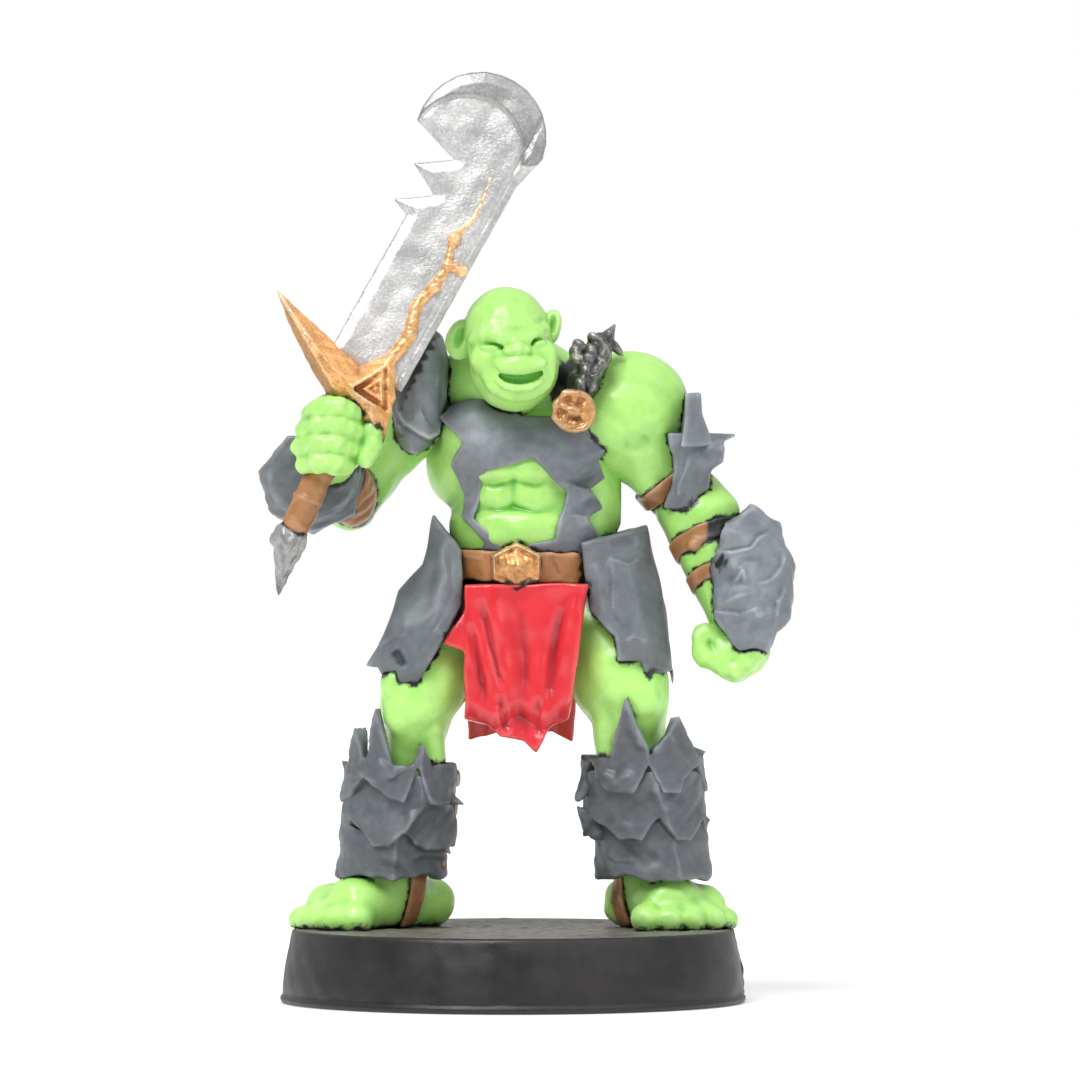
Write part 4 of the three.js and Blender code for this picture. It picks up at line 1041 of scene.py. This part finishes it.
# ---------------------------------------------------------------- base
def base_mesh():
    """The base as rings of points: underside, lip, tapered side and brushed top."""
    around = 320
    rows = [(r, 0.0) for r in (0.0, 4.0, 8.0, 11.0, 12.2)] + [(12.4, 0.03), (12.48, 0.15), (12.47, 0.3),
        (12.38, 0.4)]
    rows += [(12.36 - 0.5 * t**1.6, 0.47 + (BASE_TOP - 0.72) * t) for t in np.linspace(0, 1, 26)]
    rows += [(11.82, BASE_TOP - 0.12), (11.75, BASE_TOP - 0.03), (11.6, BASE_TOP)]
    rows += [(r, BASE_TOP) for r in np.linspace(11.4, 0.2, 56)] + [(0.0, BASE_TOP)]
    theta = np.linspace(0, 2 * math.pi, around, endpoint=False)
    ring, height = np.array(rows).T
    r, t = np.meshgrid(ring, theta, indexing="ij")
    z = np.repeat(height[:, None], around, axis=1)
    x, y = r * np.cos(t), r * np.sin(t)
    side = ((z > 0.4) & (z < BASE_TOP - 0.1)).astype(float)
    turn = (np.degrees(t) + 178) % 360 - 180
    seam = np.exp(-(turn / 3.5) ** 2)
    dents = 0.02 * waves(x, y, z, 1.5, 50) + 0.16 * seam * waves(x, y, z, 0.9, 51)
    swell = 1 + side * dents / 12.0
    top = (z > BASE_TOP - 0.001) & (r < 11.5)
    rough = 0.035 * waves(x * 0.5, y, z, 0.9, 52) + 0.03 * waves(x, y, z, 0.5, 53) + 0.03 * waves(x * 0.3, y,
        z, 0.35, 54)
    points = np.stack([x * swell, y * swell, z + np.where(top, rough - 0.03, 0)], axis=-1).reshape(-1, 3)
    count = len(rows)
    i, j = np.meshgrid(np.arange(count - 1), np.arange(around), indexing="ij")
    a, b = i * around + j, i * around + (j + 1) % around
    return points, np.stack([a, b, b + around, a + around], axis=-1).reshape(-1, 4)


# ---------------------------------------------------------------- paint
def node_input(node, name, value):
    node.inputs[name].default_value = value


def ramp(tree, factor, stops, mode="LINEAR"):
    node = tree.nodes.new("ShaderNodeValToRGB")
    node.color_ramp.interpolation = mode
    elements = node.color_ramp.elements
    while len(elements) < len(stops):
        elements.new(0.5)
    for element, (position, colour) in zip(elements, stops):
        element.position = position
        element.color = (*colour, 1.0) if len(colour) == 3 else colour
    tree.links.new(factor, node.inputs["Fac"])
    return node.outputs["Color"]


def grey(value):
    return (value, value, value)


def math_node(tree, operation, a, b=None, clamp=False):
    node = tree.nodes.new("ShaderNodeMath")
    node.operation, node.use_clamp = operation, clamp
    for socket, value in zip(node.inputs, (a, b)):
        if value is None:
            continue
        if isinstance(value, (int, float)):
            socket.default_value = value
        else:
            tree.links.new(value, socket)
    return node.outputs[0]


def mixed(tree, factor, a, b, mode="MIX"):
    node = tree.nodes.new("ShaderNodeMix")
    node.data_type, node.blend_type = "RGBA", mode
    for socket, value in ((node.inputs[0], factor), (node.inputs[6], a), (node.inputs[7], b)):
        if isinstance(value, (int, float)):
            socket.default_value = value
        elif isinstance(value, tuple):
            socket.default_value = (*value, 1.0)
        else:
            tree.links.new(value, socket)
    return node.outputs[2]


def noise(tree, coords, size_mm, detail=3.0, stretch=None, roughness=0.55):
    if stretch:
        scale = tree.nodes.new("ShaderNodeMapping")
        scale.inputs["Scale"].default_value = stretch
        tree.links.new(coords, scale.inputs["Vector"])
        coords = scale.outputs["Vector"]
    node = tree.nodes.new("ShaderNodeTexNoise")
    node_input(node, "Scale", 1.0 / (size_mm * MM))
    node_input(node, "Detail", detail)
    node_input(node, "Roughness", roughness)
    tree.links.new(coords, node.inputs["Vector"])
    return node.outputs["Fac"]


def attribute(tree, name):
    node = tree.nodes.new("ShaderNodeAttribute")
    node.attribute_name = name
    return node.outputs["Fac"]


SHADE_AND_PRIMER_BLACK = (0.012, 0.012, 0.013)


def paint(slot, base, shade, light, roughness, metallic=0.0, brush=0.2, flecks=0.0, bump=0.35, coat=0.0,
          edge=0.8):
    """Hand-brushed acrylic: painted shade in the hollows and in the crevices between pieces, painted
    highlights on the ridges, black primer in the gaps, and black on masked spots, some primer and some
    painted shade.
    """
    material = bpy.data.materials.new(slot)
    material.use_nodes = True
    tree = material.node_tree
    shader = tree.nodes["Principled BSDF"]
    coords = tree.nodes.new("ShaderNodeTexCoord").outputs["Object"]
    patches = noise(tree, coords, 2.2, 4.0)
    strokes = noise(tree, coords, 0.5, 5.0)
    fine = noise(tree, coords, 0.14, 4.0)

    def scaled(value, offset, factor):
        return math_node(tree, "MULTIPLY", math_node(tree, "ADD", value, offset), factor)

    broad, small, gap = (attribute(tree, name) for name in ("broad", "small", "gap"))
    depth = math_node(tree, "ADD", scaled(broad, 0.0, 1.5), scaled(small, 0.0, 1.1))
    depth = math_node(tree, "ADD", depth, scaled(strokes, -0.5, brush))
    hollow = math_node(tree, "MULTIPLY", depth, 1.5, clamp=True)
    ridge = math_node(tree, "MULTIPLY", math_node(tree, "SUBTRACT", -0.34, depth), 1.3, clamp=True)
    # Painted shade: the colour turns towards the shade colour in the hollows.
    colour = mixed(tree, hollow, base, shade)
    # Painted highlight: the ridges turn towards the light colour, by the share edge.
    colour = mixed(tree, math_node(tree, "MULTIPLY", ridge, edge), colour, light)
    tint = ramp(tree, patches, [(0.3, grey(1 - 0.7 * brush)), (0.52, grey(1.0)),
                                (0.72, (1 + 0.9 * brush, 1 + 0.7 * brush, 1 + 0.7 * brush))])
    colour = mixed(tree, 1.0, colour, tint, "MULTIPLY")
    brushed = ramp(tree, strokes, [(0.35, grey(1 - 0.45 * brush)), (0.65, grey(1 + 0.45 * brush))])
    colour = mixed(tree, 1.0, colour, brushed, "MULTIPLY")
    if flecks:
        glints = ramp(tree, fine, [(0.4, grey(1 - flecks)), (0.64, grey(1 + flecks))])
        colour = mixed(tree, 1.0, colour, glints, "MULTIPLY")
    # tone is each piece's brightness; on the feet, legs, vest and sword guard it also holds painted light and
    # shade.
    colour = mixed(tree, 1.0, colour, attribute(tree, "tone"), "MULTIPLY")
    # Painted shade in the crevices, where another piece or the base top is near.
    crevice = math_node(tree, "MULTIPLY", math_node(tree, "SUBTRACT", 0.7, gap), 0.9, clamp=True)
    colour = mixed(tree, math_node(tree, "MULTIPLY", crevice, 0.5), colour, shade)
    ragged = math_node(tree, "ADD", gap, scaled(strokes, -0.5, -0.75))
    torn = math_node(tree, "SUBTRACT", 1.0, math_node(tree, "MULTIPLY",
        math_node(tree, "SUBTRACT", ragged, 0.03), 7.0), clamp=True)
    # Black where a gap is closest and where a piece's mask asks: primer on most pieces, painted shade on the
    # wrist straps.
    shade_and_primer_share = math_node(tree, "MAXIMUM", torn, attribute(tree, "bare"), clamp=True)
    colour = mixed(tree, shade_and_primer_share, colour, SHADE_AND_PRIMER_BLACK)
    tree.links.new(colour, shader.inputs["Base Color"])
    uneven_gloss = ramp(tree, patches, [(0.3, grey(roughness - 0.07)), (0.7, grey(roughness + 0.09))])
    tree.links.new(uneven_gloss, shader.inputs["Roughness"])
    if metallic:
        covered = math_node(tree, "MULTIPLY", math_node(tree, "SUBTRACT", 1.0, shade_and_primer_share), metallic)
        tree.links.new(covered, shader.inputs["Metallic"])
    if coat:
        node_input(shader, "Coat Weight", coat)
        node_input(shader, "Coat Roughness", 0.2)
    grain = math_node(tree, "ADD", scaled(strokes, 0.0, 0.7), scaled(fine, 0.0, 0.25 + 2 * flecks))
    bumps = tree.nodes.new("ShaderNodeBump")
    node_input(bumps, "Strength", bump)
    node_input(bumps, "Distance", 0.06 * MM)
    tree.links.new(grain, bumps.inputs["Height"])
    tree.links.new(bumps.outputs["Normal"], shader.inputs["Normal"])
    return material


# Each paint: base colour, painted shade colour, painted highlight colour, roughness, metallic, brush, flecks,
# bump, coat and edge, the share of painted highlight on the ridges.
PAINTS = {
    "skin_green": ((0.41, 0.77, 0.18), (0.10, 0.42, 0.04), (0.70, 0.95, 0.44), 0.38, 0.0, 0.1, 0.0, 0.25,
                   0.35),
    "armour_grey": ((0.137, 0.154, 0.171), (0.066, 0.078, 0.09), (0.36, 0.39, 0.43), 0.46, 0.0, 0.26, 0.0,
                    0.45, 0.08, 0.6),
    "cloth_red": ((0.72, 0.028, 0.04), (0.22, 0.005, 0.01), (0.9, 0.16, 0.14), 0.32, 0.0, 0.08, 0.0, 0.25,
                  0.4, 0.6),
    "leather_brown": ((0.36, 0.165, 0.06), (0.16, 0.066, 0.024), (0.6, 0.34, 0.2), 0.42, 0.0, 0.3, 0.0, 0.4,
                      0.2),
    "copper_paint": ((0.85, 0.43, 0.16), (0.30, 0.115, 0.04), (1.0, 0.78, 0.5), 0.34, 0.5, 0.22, 0.16, 0.5),
    "silver_paint": ((0.62, 0.62, 0.615), (0.3, 0.3, 0.3), (0.3, 0.3, 0.3), 0.34, 0.5, 0.14, 0.12, 0.6),
    "gunmetal_paint": ((0.12, 0.12, 0.11), (0.02, 0.02, 0.02), (0.5, 0.5, 0.48), 0.32, 0.7, 0.4, 0.3, 0.5),
    "base_black": ((0.0175, 0.0155, 0.0155), (0.012, 0.011, 0.012), (0.36, 0.33, 0.3), 0.42, 0.0, 0.25, 0.0,
                   0.4),
}
materials = {slot: paint(slot, *values) for slot, values in PAINTS.items()}


# ---------------------------------------------------------------- building
def put(mesh, name, values):
    layer = mesh.attributes.new(name, "FLOAT", "POINT")
    layer.data.foreach_set("value", np.asarray(values, dtype=np.float32))


def build(name, slot, nodes, points, quads, broad, small, gap, bare, tone):
    mesh = bpy.data.meshes.new(name)
    mesh.from_pydata((points * MM).tolist(), [], quads.tolist())
    mesh.validate()
    mesh.polygons.foreach_set("use_smooth", [True] * len(mesh.polygons))
    for label, values in (("broad", broad), ("small", small), ("gap", gap), ("bare", bare), ("tone", tone)):
        put(mesh, label, values)
    mesh.materials.append(materials[slot])
    thing = bpy.data.objects.new(f"{name}_painted", mesh)
    bpy.context.collection.objects.link(thing)
    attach(thing, "root")
    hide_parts(*nodes)
    return thing


JOINED_PAINTS = ({"skin_green"}, {"armour_grey"}, {"silver_paint", "copper_paint"})
THIN_PAINTS = ("leather_brown",)  # bands so thin that the limb under them must not darken them

# gap is the distance to the nearest piece of another paint; it drives the painted crevice shade and the
# primer in the gaps.
for item in pieces:
    gap = np.full(len(item.points), 2.0)
    for other in pieces:
        if other is item or any({other.slot, item.slot} <= joined for joined in JOINED_PAINTS):
            continue
        if {other.name, item.name} == {"torso", "vest"}:
            continue
        apart = (item.points.min(0) > other.low + np.array(other.grid.shape) * other.step).any()
        if apart or (item.points.max(0) < other.low).any():
            continue
        gap = np.minimum(gap, np.maximum(other.sample(item.points), 0))
    # The thin leather bands get a wider gap, so the limb under them gives them less painted crevice shade and
    # primer.
    if item.slot in THIN_PAINTS:
        gap = gap * 3.5
    # Close to the base top the gap shrinks, for primer along the soles and painted shade where the figure
    # meets the base.
    gap = np.minimum(gap, np.maximum(item.points[:, 2] - BASE_TOP, 0) * 0.6)
    x, y, z = item.points.T
    bare = np.clip(0.5 - item.bare(x, y, z) * 6, 0, 1) if item.bare else np.zeros(len(x))
    tone = item.tone(x, y, z) if callable(item.tone) else np.full(len(x), item.tone)
    build(item.name, item.slot, item.nodes, item.points, item.quads,
          item.hollowness(0.45), item.hollowness(0.16), gap, bare, tone)

base_points, base_quads = base_mesh()
flat = np.zeros(len(base_points))
bx, by, bz = base_points.T
# The base top is paler: its brush streaks and scuffs, and a painted sheen standing in for light glancing off
# it.
top_face = (bz > BASE_TOP - 0.15) & (np.hypot(bx, by) < 11.7)
scuffs = 0.3 * waves(bx * 0.3, by, bz, 0.5, 55) + 0.2 * waves(bx * 0.3, by, bz, 0.25, 56)
top_sheen_and_scuffs = np.where(top_face, np.clip(0.72 + 0.5 * scuffs, 0, 1.2), 0.1 * waves(bx, by, bz, 2.2, 57))
build("base", "base_black", ("base",), base_points, base_quads, -0.7 * top_sheen_and_scuffs, flat, flat + 2, flat, flat + 1)

# ---------------------------------------------------------------- floor, light and camera
floor_mesh = bpy.data.meshes.new("floor")
FLOOR_SIDE = 1.6
corners = [(sx * FLOOR_SIDE, sy * FLOOR_SIDE, GROUND * MM - 0.00002) for sx,
           sy in ((-1, -1), (1, -1), (1, 1), (-1, 1))]
floor_mesh.from_pydata(corners, [], [(0, 1, 2, 3)])
floor = bpy.data.objects.new("floor", floor_mesh)
bpy.context.collection.objects.link(floor)
pale = bpy.data.materials.new("floor_pale")
pale.use_nodes = True
node_input(pale.node_tree.nodes["Principled BSDF"], "Base Color", (0.93, 0.93, 0.93, 1))
node_input(pale.node_tree.nodes["Principled BSDF"], "Roughness", 0.7)
node_input(pale.node_tree.nodes["Principled BSDF"], "Emission Color", (1, 1, 1, 1))
node_input(pale.node_tree.nodes["Principled BSDF"], "Emission Strength", 0.22)
floor_mesh.materials.append(pale)

scene = bpy.context.scene
world = bpy.data.worlds.new("studio")
scene.world = world
world.use_nodes = True
sky = world.node_tree
backdrop = sky.nodes["Background"]
node_input(backdrop, "Color", (1, 1, 1, 1))
room = sky.nodes.new("ShaderNodeBackground")
direction = sky.nodes.new("ShaderNodeTexCoord").outputs["Generated"]
parts = sky.nodes.new("ShaderNodeSeparateXYZ")
sky.links.new(direction, parts.inputs[0])
lift = math_node(sky, "MULTIPLY", parts.outputs["Z"], 0.35)
behind = math_node(sky, "MULTIPLY", parts.outputs["Y"], 0.4)
sky.links.new(math_node(sky, "ADD", math_node(sky, "ADD", lift, behind), 0.4), room.inputs["Strength"])
seen = sky.nodes.new("ShaderNodeLightPath").outputs["Is Camera Ray"]
choice = sky.nodes.new("ShaderNodeMixShader")
for socket, value in zip(choice.inputs, (seen, room.outputs[0], backdrop.outputs[0])):
    sky.links.new(value, socket)
sky.links.new(choice.outputs[0], sky.nodes["World Output"].inputs["Surface"])
scene.view_settings.view_transform = "Standard"


def softbox(name, azimuth, elevation, strength, spread):
    """A broad distant light; azimuth 0 shines from the front and 90 from the figure's left."""
    lamp = bpy.data.lights.new(name, "SUN")
    lamp.energy, lamp.angle = strength, math.radians(spread)
    thing = bpy.data.objects.new(name, lamp)
    thing.rotation_euler = (math.radians(90 - elevation), 0.0, math.radians(azimuth))
    bpy.context.collection.objects.link(thing)


softbox("key", -28, 50, 2.3, 32)
softbox("fill", 50, 38, 0.75, 50)

CAMERA_AT = (1.45 * MM, -434.0 * MM, 24.74 * MM)
CAMERA_LENS, CAMERA_SENSOR = 269.7, 36.0
camera = bpy.data.cameras.new("camera")
camera.sensor_width = CAMERA_SENSOR
camera.lens = CAMERA_LENS
camera.clip_start, camera.clip_end = 0.01, 20.0
view = bpy.data.objects.new("camera", camera)
view.location = CAMERA_AT
view.rotation_euler = (math.pi / 2, 0.0, 0.0)
bpy.context.collection.objects.link(view)
scene.camera = view
